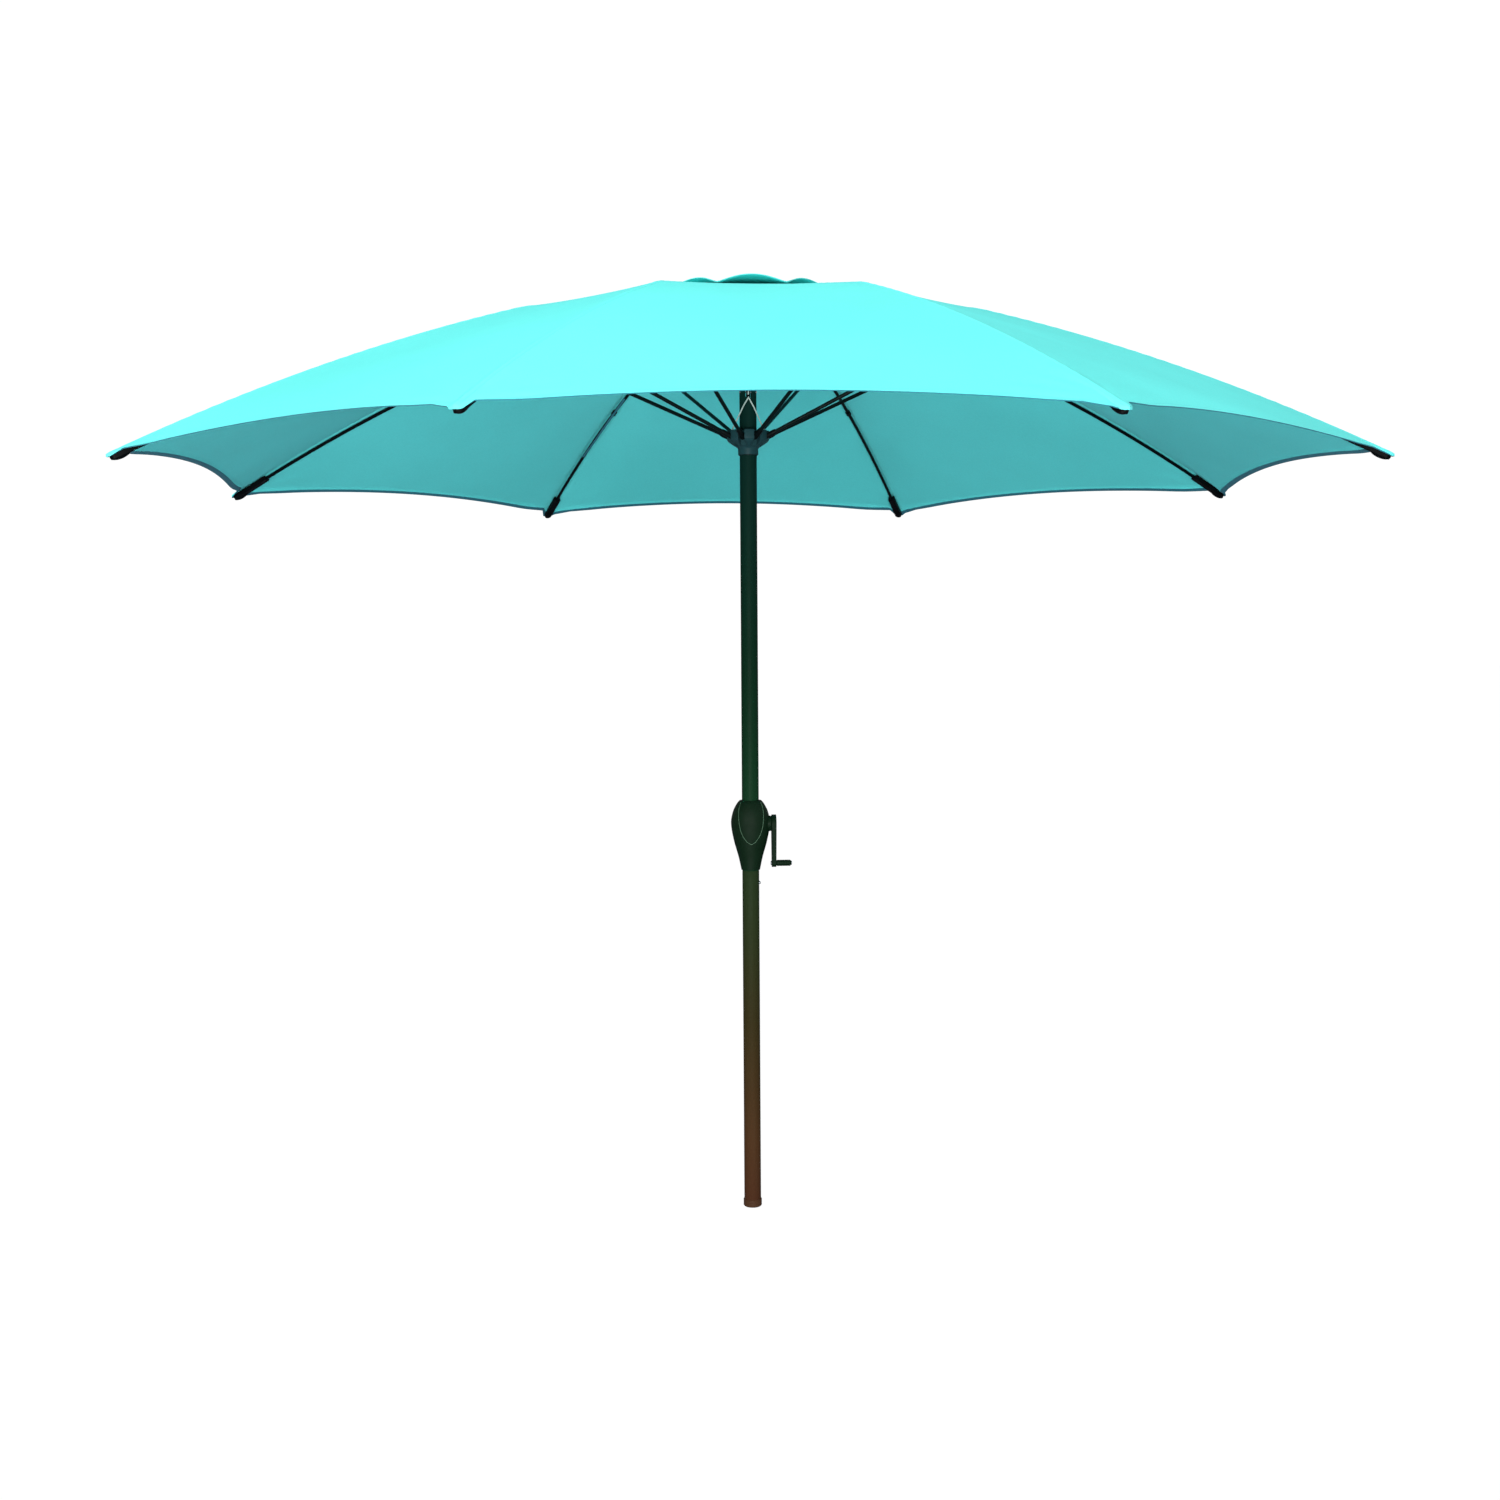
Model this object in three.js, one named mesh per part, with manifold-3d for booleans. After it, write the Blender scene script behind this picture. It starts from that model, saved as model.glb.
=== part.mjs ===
// Beach umbrella with a crank lift: straight two-piece pole, eight curved ribs, eight struts,
// a sliding runner, a crank case and an octagonal cover. Millimetres, +Z up, pole axis on Z,
// bottom of the pole at the origin, crank on the +X side.
import * as THREE from "three";
import { mergeVertices } from "three/addons/utils/BufferGeometryUtils.js";
import Module from "manifold-3d";

const wasm = await Module();
wasm.setup();

// ---- driving dimensions -------------------------------------------------------------------
const GAP = 0.3; // left between pieces that touch
const RIB_COUNT = 8;
const FIRST_RIB = Math.PI / 8; // azimuth of rib_1, so that the crank lies between two ribs
const HALF_GORE = Math.PI / RIB_COUNT;

const TIP_RADIUS = 1350; // pole axis to rib tip
const RIM_HEIGHT = 1653; // rib tips above the bottom of the pole
const KNEE_RADIUS = 518; // the ribs bend here, just inside their struts' brackets
const CROWN_SLOPE = 0.16; // how steeply the cover falls from the centre to the knee,
const KNEE_TURN = 0.126; // how much steeper it falls from there on,
const CROWN_BEND = 0.19; // and by the square of the distance, all in tip radii

const CLOTH = 1.2; // cover thickness
const CLOTH_HOLE = 24; // radius of the hole at the centre of the cover
const HEM_SCALLOP = 40; // how far the hem curves in between two tips
const FLAP_RADIUS = 195; // wind vent flap, from the pole axis to its corners on the ribs
const FLAP_LIFT = 4.5; // flap above the cover
const FLAP_ARCH = 18; // how far the flap's hem arches up between two ribs
const FLAP_SCALLOP = 10;

const RIB_DROP = 11; // rib axis below the cover's top
const RIB_RADIUS = 4;
const FERRULE_PLACE = 0.597; // along the rib, in tip radii
const FERRULE_RADIUS = 6.5;
const FERRULE_LENGTH = 17;
const TONGUE = 5.6; // thickness of every flat tongue
const FORK = 6.4; // width of every slot that holds a tongue
const PIN_RADIUS = 1.5;
const PIN_HOLE = 1.9;

const HUB_PIVOT_RADIUS = 40;
const HUB_RADIUS = 47;
const HUB_CORE = 32; // the hub's slots start here
const HUB_TOP = crown(0) + FLAP_LIFT;
const HUB_WALL = 4;
const HUB_SLEEVE = 40; // how far the hub reaches down the pole
const CAP_RADIUS = 27;
const STRUT_JOINT_RADIUS = 533; // where the strut meets the rib
const STRUT_JOINT_DROP = 11; // strut pin below the rib axis
const STRUT_RADIUS = 4.25;
const STRUT_FOOT_RADIUS = 6.2;
const STRUT_FOOT_LENGTH = 30;
const RUNNER_PIVOT_RADIUS = 38;
const RUNNER_PIVOT_HEIGHT = 1738;
const RUNNER_SLOT = 15;
const RUNNER_CORE = 28;
const RUNNER_TOP = 1753;
const RUNNER_FLANGE = 1731; // underside of the slotted flange
const RUNNER_NECK_TOP = 1715;
const RUNNER_BOTTOM = 1700;
const RUNNER_NECK = 22.5; // radius of the collar below the cone
const RUNNER_PLAY = 0.5; // between the runner and the pole

const POLE_RADIUS = 19;
const POLE_BORE = 17.5;
const PLUG_RADIUS = 17.2; // narrowed end of the upper pole
const PLUG_BORE = 15.4;
const PLUG_LENGTH = 71;
const JOIN_HEIGHT = 771; // seam between the pole sections
const POLE_TOP = HUB_TOP - 19;
const FOOT_HEIGHT = 17;
const FOOT_FLOOR = 2.3;
const FOOT_RADIUS = 20.8;
const BUTTON_HEIGHT = 743;
const BUTTON_RADIUS = 3.4;
const BUTTON_FLANGE = 5.5;

const CRANK_HEIGHT = 877;
const DRUM_RADIUS = 11.1;
const DRUM_FLANGE = 13.5;
const SHAFT_RADIUS = 5;
const ARM_LENGTH = 90;
const ARM_INNER = 47.7; // near face of the crank arm, from the pole axis
const ARM_THICK = 10;
const ARM_HUB_RADIUS = 20;
const ARM_END_RADIUS = 9;
const GRIP_RADIUS = 7;
const GRIP_END = 91.5;
const GRIP_PIN_RADIUS = 3;

const CASE_BOTTOM = 773;
const CASE_TOP = 930;
const CASE_WALL = 3;
const CASE_NECK = 21; // half width at the bottom of the crank case
const CASE_DEPTH = 0.6; // share of the bulge that the case has front to back
const CASE_OUTLINE = [
  // half width, height above the bottom of the case
  [CASE_NECK, 0],
  [27.5, 30],
  [36.3, 61],
  [42.2, 89],
  [43.7, 111],
  [39, 133],
  [31, 149],
  [24.5, CASE_TOP - CASE_BOTTOM],
];
const SCREW_OFFSET = 30;
const SCREW_HEIGHT = 856;
const SCREW_SEAT = 28; // rear face that the screw heads sit on

const CORD_RADIUS = 1.5;
const PULLEY_HEIGHT = 1838;
const PULLEY_FORWARD = 6; // pulley axis in front of the pole axis
const SLOT_WIDTH = 13;
const SLOT_BOTTOM = 1823;
const SLOT_TOP = 1862;
const EYE_RADIUS = 36.5; // cord eyes in the runner
const CORD_TURN = DRUM_RADIUS + CORD_RADIUS + GAP; // cord line round the drum and the pulley

const POCKET_LENGTH = 100;
const POCKET_WIDTH = 18;
const POCKET_THICK = 11;

// ---- materials ----------------------------------------------------------------------------
function finish(color, roughness, metalness = 0) {
  return () => new THREE.MeshStandardMaterial({ color, roughness, metalness });
}
const turquoiseCloth = finish(0x4fd8d8, 0.8);
const darkPole = finish(0x18392a, 0.35, 0.6);
const lowerPolePaint = finish(0x3a3a20, 0.4, 0.6);
const blackPlastic = finish(0x101413, 0.5);
const casePlastic = finish(0x14261a, 0.35);
const blackRib = finish(0x08090b, 0.4);
const paleCord = finish(0xd9d9cf, 0.9);
const steel = finish(0xa8acb0, 0.35, 1);

// ---- solids -------------------------------------------------------------------------------
// A closed three.js geometry as a solid, with its faces turned outwards.
function solid(geometry) {
  const bare = geometry.clone();
  bare.deleteAttribute("normal");
  bare.deleteAttribute("uv");
  const merged = mergeVertices(bare, 1e-4);
  const source = merged.index.array;
  const triangles = [];
  for (let i = 0; i < source.length; i += 3) {
    const [a, b, c] = [source[i], source[i + 1], source[i + 2]];
    if (a !== b && b !== c && c !== a) triangles.push(a, b, c);
  }
  const vertProperties = new Float32Array(merged.attributes.position.array);
  const build = (list) =>
    new wasm.Manifold(
      new wasm.Mesh({ numProp: 3, vertProperties, triVerts: new Uint32Array(list) }),
    );
  const made = build(triangles);
  return made.volume() >= 0 ? made : build(triangles.reverse());
}

function geometryOf(manifold) {
  const mesh = manifold.getMesh();
  const points = new Float32Array(mesh.numVert * 3);
  for (let i = 0; i < mesh.numVert; i++) {
    const start = i * mesh.numProp;
    points.set(mesh.vertProperties.subarray(start, start + 3), i * 3);
  }
  const geometry = new THREE.BufferGeometry();
  geometry.setAttribute("position", new THREE.BufferAttribute(points, 3));
  geometry.setIndex(new THREE.BufferAttribute(new Uint32Array(mesh.triVerts), 1));
  geometry.computeVertexNormals();
  return geometry;
}

function union(first, ...others) {
  return others.reduce((sum, next) => sum.add(next), first);
}

function cut(first, ...others) {
  return others.reduce((left, next) => left.subtract(next), first);
}

// A turned solid about Z: [radius, height] points that start and end on the axis or close.
function turned(profile, sides = 24) {
  const points = profile.map(([r, z]) => new THREE.Vector2(r, z));
  const geometry = new THREE.LatheGeometry(points, sides);
  geometry.rotateX(Math.PI / 2);
  return geometry;
}

function ring(outer, inner, bottom, top, sides = 24) {
  const profile = [
    [inner, bottom],
    [outer, bottom],
    [outer, top],
    [inner, top],
    [inner, bottom],
  ];
  return solid(turned(profile, sides));
}

// The same about X, for the crank: heights become distances along +X.
function turnedOnX(profile, height, sides = 16, forward = 0) {
  const geometry = turned(profile, sides);
  geometry.rotateY(Math.PI / 2);
  geometry.translate(0, -forward, height);
  return geometry;
}

function rodOnX(radius, from, to, height, sides = 16, forward = 0) {
  const profile = [
    [0, from],
    [radius, from],
    [radius, to],
    [0, to],
  ];
  return solid(turnedOnX(profile, height, sides, forward));
}

function rodOnY(radius, from, to, x, z, sides = 10) {
  const geometry = new THREE.CylinderGeometry(radius, radius, to - from, sides);
  geometry.translate(x, (from + to) / 2, z);
  return solid(geometry);
}

function block(x0, x1, y0, y1, z0, z1) {
  const geometry = new THREE.BoxGeometry(x1 - x0, y1 - y0, z1 - z0);
  geometry.translate((x0 + x1) / 2, (y0 + y1) / 2, (z0 + z1) / 2);
  return solid(geometry);
}

// A box or rod along a slanted line in the XZ plane, from its start point.
function alongLine(geometry, start, direction) {
  geometry.rotateY(-Math.atan2(direction.y, direction.x));
  geometry.translate(start.x, 0, start.y);
  return solid(geometry);
}

function bar(length, width, height, start, direction, lift = 0) {
  const geometry = new THREE.BoxGeometry(length, width, height);
  geometry.translate(length / 2, 0, lift);
  return alongLine(geometry, start, direction);
}

function rod(radius, from, to, start, direction, sides) {
  const geometry = new THREE.CylinderGeometry(radius, radius, to - from, sides);
  geometry.rotateZ(-Math.PI / 2);
  geometry.translate((from + to) / 2, 0, 0);
  return alongLine(geometry, start, direction);
}

// A path that passes through its points, one step of the extrusion to each.
class Route extends THREE.Curve {
  constructor(points) {
    super();
    this.points = points;
  }
  getPoint(t, target = new THREE.Vector3()) {
    const place = t * (this.points.length - 1);
    const index = Math.min(Math.floor(place), this.points.length - 2);
    return target.lerpVectors(this.points[index], this.points[index + 1], place - index);
  }
  getPointAt(t, target) {
    return this.getPoint(t, target);
  }
  getTangentAt(t, target) {
    return this.getTangent(t, target);
  }
}

function sweep(points, radius, sides = 6) {
  const section = new THREE.Shape();
  for (let i = 0; i < sides; i++) {
    const turn = (2 * Math.PI * (i + 0.5)) / sides;
    const [x, y] = [radius * Math.cos(turn), radius * Math.sin(turn)];
    if (i === 0) section.moveTo(x, y);
    else section.lineTo(x, y);
  }
  const geometry = new THREE.ExtrudeGeometry(section, {
    steps: points.length - 1,
    extrudePath: new Route(points),
    bevelEnabled: false,
  });
  return solid(geometry);
}

// ---- the cover's shape --------------------------------------------------------------------
// How far the cover has fallen at a distance from the pole axis, both in tip radii.
function crownFall(share) {
  const past = Math.max(0, share - KNEE_RADIUS / TIP_RADIUS);
  return CROWN_SLOPE * share + KNEE_TURN * past + CROWN_BEND * past ** 2;
}

// Height of the cover's top over a rib, at a distance from the pole axis.
function crown(radius) {
  return RIM_HEIGHT + TIP_RADIUS * (crownFall(1) - crownFall(radius / TIP_RADIUS));
}

function crownTangent(radius) {
  const past = (radius - KNEE_RADIUS) / TIP_RADIUS;
  const slope = CROWN_SLOPE + (past > 0 ? KNEE_TURN + 2 * CROWN_BEND * past : 0);
  return new THREE.Vector2(1, -slope).normalize();
}

function ribPoint(radius) {
  return new THREE.Vector3(radius, 0, crown(radius) - RIB_DROP);
}

// A flat box bent into a gore centred on +X: x is the way out along the rib, y the way across
// to the lines midway to the next ribs, z the thickness. The hem curves in between the tips,
// by scallop, and up, by arch. With kneeRow, a share of the rows, that row lies on the knee.
function goreSheet({ inner, outer, kneeRow, lift, scallop, arch, rows, columns, thickness }) {
  const knee = (KNEE_RADIUS - inner) / (outer - inner);
  const spaced = (row) => {
    if (!kneeRow) return row;
    if (row < kneeRow) return (row / kneeRow) * knee;
    return THREE.MathUtils.lerp(knee, 1, (row - kneeRow) / (1 - kneeRow));
  };
  const geometry = new THREE.BoxGeometry(1, 2, thickness, rows, columns, 1);
  const place = geometry.attributes.position;
  const cos = Math.cos(HALF_GORE);
  const sin = Math.sin(HALF_GORE);
  for (let i = 0; i < place.count; i++) {
    const share = spaced(place.getX(i) + 0.5);
    const across = place.getY(i);
    const away = Math.abs(across);
    const bow = 2 * away - away ** 2;
    const radius = inner + (outer - inner) * share - scallop * share ** 4 * bow;
    const x = radius * (1 - away * (1 - cos * cos));
    const y = across * (radius * cos * sin - GAP);
    const top = crown(radius) + lift + arch * share ** 2 * bow;
    place.setXYZ(i, x, y, top - thickness / 2 + place.getZ(i));
  }
  return solid(geometry);
}

function gore() {
  const main = goreSheet({
    inner: CLOTH_HOLE,
    outer: TIP_RADIUS - 6,
    kneeRow: 1 / 3,
    lift: 0,
    scallop: HEM_SCALLOP,
    arch: 0,
    rows: 9,
    columns: 6,
    thickness: CLOTH,
  });
  const flap = goreSheet({
    inner: CLOTH_HOLE,
    outer: FLAP_RADIUS,
    lift: FLAP_LIFT,
    scallop: FLAP_SCALLOP,
    arch: FLAP_ARCH,
    rows: 3,
    columns: 4,
    thickness: CLOTH,
  });
  const seam = goreSheet({
    inner: CLOTH_HOLE,
    outer: CLOTH_HOLE + 4,
    lift: FLAP_LIFT,
    scallop: 0,
    arch: 0,
    rows: 1,
    columns: 2,
    thickness: CLOTH + FLAP_LIFT,
  });
  return union(main, flap, seam);
}

// ---- ribs and struts ----------------------------------------------------------------------
const hubPivot = new THREE.Vector2(HUB_PIVOT_RADIUS, crown(HUB_PIVOT_RADIUS) - RIB_DROP);
const strutJointTangent = crownTangent(STRUT_JOINT_RADIUS);
const bracketAxis = new THREE.Vector2(STRUT_JOINT_RADIUS, crown(STRUT_JOINT_RADIUS) - RIB_DROP);
const awayFromRib = new THREE.Vector2(strutJointTangent.y, -strutJointTangent.x);
const strutJoint = bracketAxis.clone().addScaledVector(awayFromRib, STRUT_JOINT_DROP);
const runnerPivot = new THREE.Vector2(RUNNER_PIVOT_RADIUS, RUNNER_PIVOT_HEIGHT);

function ribLine(from, to, steps) {
  const points = [];
  for (let i = 0; i <= steps; i++) points.push(ribPoint(from + ((to - from) * i) / steps));
  return points;
}

function rib() {
  const rodStart = HUB_PIVOT_RADIUS + 14;
  const rodEnd = TIP_RADIUS - 30;
  const inside = ribLine(rodStart, KNEE_RADIUS, 4);
  const line = sweep([...inside, ...ribLine(KNEE_RADIUS, rodEnd, 10).slice(1)], RIB_RADIUS);
  const outward = crownTangent(HUB_PIVOT_RADIUS);
  const tongue = bar(19, TONGUE, 8, hubPivot, outward);
  const eye = rodOnY(4.5, -TONGUE / 2, TONGUE / 2, hubPivot.x, hubPivot.y);
  const hole = rodOnY(PIN_HOLE, -TONGUE, TONGUE, hubPivot.x, hubPivot.y);
  const middle = TIP_RADIUS * FERRULE_PLACE;
  const start = new THREE.Vector2(middle, crown(middle) - RIB_DROP);
  const half = FERRULE_LENGTH / 2;
  const ferrule = rod(FERRULE_RADIUS, -half, half, start, crownTangent(middle), 8);
  return cut(union(line, tongue, eye, ferrule), hole);
}

function ribBracket() {
  const along = strutJointTangent;
  const start = bracketAxis.clone().addScaledVector(along, -12);
  const body = bar(24, 14, 22.5, start, along, -5.75);
  const slot = bar(26, FORK, 14, start.clone().addScaledVector(along, -1), along, -12.6);
  const reach = 14;
  const line = ribLine(STRUT_JOINT_RADIUS - reach, STRUT_JOINT_RADIUS + reach, 2);
  const tunnel = sweep(line, RIB_RADIUS + GAP + 0.2);
  const pin = rodOnY(PIN_RADIUS, -6.5, 6.5, strutJoint.x, strutJoint.y);
  return union(cut(body, slot, tunnel), pin);
}

function strut() {
  const line = strutJoint.clone().sub(runnerPivot);
  const length = line.length();
  const outward = line.normalize();
  const tube = rod(STRUT_RADIUS, 20, length - 15, runnerPivot, outward, 6);
  const foot = rod(STRUT_FOOT_RADIUS, 0, STRUT_FOOT_LENGTH, runnerPivot, outward, 8);
  const half = STRUT_FOOT_RADIUS;
  const toe = rodOnY(half, -half, half, runnerPivot.x, runnerPivot.y);
  const tongueStart = strutJoint.clone().addScaledVector(outward, -18);
  const tongue = bar(18, TONGUE, 8, tongueStart, outward);
  const eye = rodOnY(5, -TONGUE / 2, TONGUE / 2, strutJoint.x, strutJoint.y);
  const hole = rodOnY(PIN_HOLE, -TONGUE, TONGUE, strutJoint.x, strutJoint.y);
  return cut(union(tube, foot, toe, tongue, eye), hole);
}

// End pocket: a rounded outer cap, a tunnel for the rib tip and a forked inner end.
function tipPocket() {
  const half = POCKET_WIDTH / 2;
  const ear = 7;
  const outline = new THREE.Shape();
  outline.moveTo(0, -half);
  outline.lineTo(POCKET_LENGTH - half, -half);
  outline.absarc(POCKET_LENGTH - half, 0, half, -Math.PI / 2, Math.PI / 2, false);
  outline.lineTo(0, half);
  outline.lineTo(-ear, half - 3);
  outline.lineTo(ear, 0);
  outline.lineTo(-ear, 3 - half);
  outline.closePath();
  const geometry = new THREE.ExtrudeGeometry(outline, {
    depth: POCKET_THICK - 2,
    bevelEnabled: true,
    bevelThickness: 1,
    bevelSize: 0.8,
    bevelOffset: -0.8,
    bevelSegments: 1,
    curveSegments: 3,
  });
  geometry.translate(-POCKET_LENGTH, 0, 1 - POCKET_THICK / 2);
  const middle = TIP_RADIUS - POCKET_LENGTH / 2;
  const direction = crownTangent(middle);
  const tip = new THREE.Vector2(middle, crown(middle) - RIB_DROP).addScaledVector(
    direction,
    POCKET_LENGTH / 2,
  );
  const body = alongLine(geometry, tip, direction);
  const tunnel = sweep(ribLine(TIP_RADIUS - 130, TIP_RADIUS - 29, 3), RIB_RADIUS + GAP + 0.2);
  return cut(body, tunnel);
}

// ---- hubs ---------------------------------------------------------------------------------
// Slots round a hub, from a core radius outwards, on the rib azimuths.
function slots(width, core, reach, bottom, top) {
  const list = [];
  for (let i = 0; i < RIB_COUNT; i++) {
    const slot = new THREE.BoxGeometry(reach - core, width, top - bottom);
    slot.translate((reach + core) / 2, 0, (top + bottom) / 2);
    slot.rotateZ(FIRST_RIB + i * 2 * HALF_GORE);
    list.push(solid(slot));
  }
  return list;
}

function topHub() {
  const bore = POLE_RADIUS + GAP;
  const sleeve = POLE_RADIUS + HUB_WALL;
  const neck = CLOTH_HOLE - 4;
  const disc = solid(
    turned([
      [0, POLE_TOP + GAP],
      [bore, POLE_TOP + GAP],
      [bore, POLE_TOP - HUB_SLEEVE],
      [sleeve, POLE_TOP - HUB_SLEEVE],
      [sleeve, hubPivot.y - 12],
      [sleeve + 7, hubPivot.y - 8],
      [HUB_RADIUS, hubPivot.y - 6],
      [HUB_RADIUS, hubPivot.y + 4.5],
      [neck, hubPivot.y + 8],
      [neck, HUB_TOP],
      [0, HUB_TOP],
    ]),
  );
  const slotList = slots(FORK, HUB_CORE, HUB_RADIUS + 5, hubPivot.y - 20, hubPivot.y + 15);
  const pins = [];
  for (let i = 0; i < RIB_COUNT; i++) {
    const pin = new THREE.CylinderGeometry(PIN_RADIUS, PIN_RADIUS, FORK + 3, 12);
    pin.translate(hubPivot.x, 0, hubPivot.y);
    pin.rotateZ(FIRST_RIB + i * 2 * HALF_GORE);
    pins.push(solid(pin));
  }
  return union(cut(disc, ...slotList), ...pins);
}

// A low dome that holds the cover down on the hub.
function topCap() {
  const bottom = HUB_TOP + GAP;
  return solid(
    turned([
      [0, bottom],
      [CAP_RADIUS, bottom],
      [CAP_RADIUS - 1, bottom + 2.2],
      [CAP_RADIUS - 7, bottom + 4.7],
      [CAP_RADIUS - 17, bottom + 6.2],
      [0, bottom + 6.7],
    ]),
  );
}

function runner() {
  const bore = POLE_RADIUS + RUNNER_PLAY;
  const flange = ring(HUB_RADIUS, bore, RUNNER_FLANGE, RUNNER_TOP);
  const cone = solid(
    turned([
      [bore, RUNNER_BOTTOM],
      [RUNNER_NECK, RUNNER_BOTTOM],
      [RUNNER_NECK, RUNNER_NECK_TOP],
      [HUB_RADIUS - 1, RUNNER_FLANGE + 0.1],
      [bore, RUNNER_FLANGE + 0.1],
      [bore, RUNNER_BOTTOM],
    ]),
  );
  const eyes = [-1, 1].map((side) => {
    const eye = new THREE.CylinderGeometry(2.3, 2.3, 80, 10);
    eye.rotateX(Math.PI / 2);
    eye.translate(side * EYE_RADIUS, 0, RUNNER_FLANGE);
    return solid(eye);
  });
  const slotReach = HUB_RADIUS + 13;
  const slotList = slots(RUNNER_SLOT, RUNNER_CORE, slotReach, RUNNER_BOTTOM - 10, RUNNER_TOP + 7);
  return cut(union(flange, cone), ...slotList, ...eyes);
}

// ---- pole ---------------------------------------------------------------------------------
function buttonHole(radius) {
  return rodOnX(radius, 5, 30, BUTTON_HEIGHT, 12);
}

function lowerPole() {
  const tube = ring(POLE_RADIUS, POLE_BORE, FOOT_FLOOR + GAP, JOIN_HEIGHT);
  return cut(tube, buttonHole(BUTTON_RADIUS + 0.4));
}

function upperPole() {
  const bottom = JOIN_HEIGHT + GAP;
  const body = ring(POLE_RADIUS, POLE_BORE, bottom + 5, POLE_TOP);
  const plug = solid(
    turned([
      [PLUG_BORE, JOIN_HEIGHT - PLUG_LENGTH],
      [PLUG_RADIUS, JOIN_HEIGHT - PLUG_LENGTH],
      [PLUG_RADIUS, bottom],
      [POLE_RADIUS, bottom],
      [POLE_RADIUS, bottom + 6],
      [POLE_BORE, bottom + 6],
      [PLUG_BORE, bottom],
      [PLUG_BORE, JOIN_HEIGHT - PLUG_LENGTH],
    ]),
  );
  const half = SLOT_WIDTH / 2;
  const slot = union(
    block(-half, half, -30, 30, SLOT_BOTTOM + half, SLOT_TOP - half),
    rodOnY(half, -30, 30, 0, SLOT_BOTTOM + half, 16),
    rodOnY(half, -30, 30, 0, SLOT_TOP - half, 16),
  );
  const shaftHole = rodOnX(SHAFT_RADIUS + 0.7, -30, 30, CRANK_HEIGHT, 16);
  const pinHole = rodOnX(2.4, -30, 30, PULLEY_HEIGHT, 12, PULLEY_FORWARD);
  return cut(union(body, plug), slot, shaftHole, pinHole, buttonHole(BUTTON_RADIUS + 0.4));
}

function poleFoot() {
  return solid(
    turned([
      [0, 0],
      [FOOT_RADIUS - 2.5, 0],
      [FOOT_RADIUS, 2.5],
      [FOOT_RADIUS, FOOT_HEIGHT - 1],
      [FOOT_RADIUS - 0.7, FOOT_HEIGHT],
      [POLE_RADIUS + GAP, FOOT_HEIGHT],
      [POLE_RADIUS + GAP, FOOT_FLOOR],
      [0, FOOT_FLOOR],
    ]),
  );
}

function snapButton() {
  const profile = [
    [0, 8],
    [BUTTON_RADIUS, 8],
    [BUTTON_RADIUS, 12.2],
    [BUTTON_FLANGE, 12.2],
    [BUTTON_FLANGE, 14],
    [BUTTON_RADIUS, 14],
    [BUTTON_RADIUS, POLE_RADIUS + 1.6],
    [BUTTON_RADIUS - 1.2, POLE_RADIUS + 3],
    [0, POLE_RADIUS + 3.3],
  ];
  return solid(turnedOnX(profile, BUTTON_HEIGHT, 12));
}

// A bent leaf: one leg behind the button's flange, the other against the far wall.
function buttonSpring() {
  const outline = new THREE.Shape();
  const legTop = BUTTON_HEIGHT + 10;
  const bend = BUTTON_HEIGHT - 36;
  outline.moveTo(7.6, legTop);
  outline.lineTo(6.7, legTop);
  outline.lineTo(0.4, bend + 2);
  outline.lineTo(-13.5, legTop);
  outline.lineTo(-14.4, legTop);
  outline.lineTo(-0.2, bend);
  outline.lineTo(1, bend);
  outline.closePath();
  const geometry = new THREE.ExtrudeGeometry(outline, { depth: 7, bevelEnabled: false });
  geometry.rotateX(Math.PI / 2);
  geometry.translate(0, 3.5, 0);
  return solid(geometry);
}

// ---- crank --------------------------------------------------------------------------------
// The case bulges round the crank shaft, front to back less than side to side. The inset
// makes its hollow, between two heights.
function caseBody(inset, bottom, top) {
  const outline = new THREE.SplineCurve(CASE_OUTLINE.map(([w, h]) => new THREE.Vector2(w, h)));
  const stretch = (top - bottom) / (CASE_TOP - CASE_BOTTOM);
  const side = outline.getPoints(10).map((p) => [p.x - inset, bottom + p.y * stretch]);
  const geometry = turned([[0, bottom], ...side, [0, top]], 20);
  const place = geometry.attributes.position;
  const neck = CASE_NECK - inset;
  for (let i = 0; i < place.count; i++) {
    const radius = Math.hypot(place.getX(i), place.getY(i));
    const depth = neck + (radius - neck) * CASE_DEPTH;
    if (radius > neck) place.setY(i, (place.getY(i) * depth) / radius);
  }
  return solid(geometry);
}

function crankCase() {
  const hollow = caseBody(CASE_WALL, CASE_BOTTOM + CASE_WALL, CASE_TOP - CASE_WALL);
  const shell = cut(caseBody(0, CASE_BOTTOM, CASE_TOP), hollow);
  const screws = [-SCREW_OFFSET, SCREW_OFFSET];
  const posts = screws.map((x) => rodOnY(6, -19, SCREW_SEAT, x, SCREW_HEIGHT));
  const screwHoles = screws.map((x) => rodOnY(2.3, -16, SCREW_SEAT + 2, x, SCREW_HEIGHT));
  const bore = POLE_RADIUS + GAP;
  const poleHole = solid(
    turned([
      [0, CASE_BOTTOM - 5],
      [bore, CASE_BOTTOM - 5],
      [bore, CASE_TOP + 5],
      [0, CASE_TOP + 5],
    ]),
  );
  const shaftHole = rodOnX(SHAFT_RADIUS + 0.5, 30, 60, CRANK_HEIGHT);
  return cut(union(shell, ...posts), poleHole, shaftHole, ...screwHoles);
}

function housingScrew(side) {
  const seat = SCREW_SEAT + GAP;
  const head = rodOnY(4.2, seat, seat + 2.5, side * SCREW_OFFSET, SCREW_HEIGHT);
  const shank = rodOnY(1.9, -14, seat + 1, side * SCREW_OFFSET, SCREW_HEIGHT);
  return head.add(shank);
}

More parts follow.
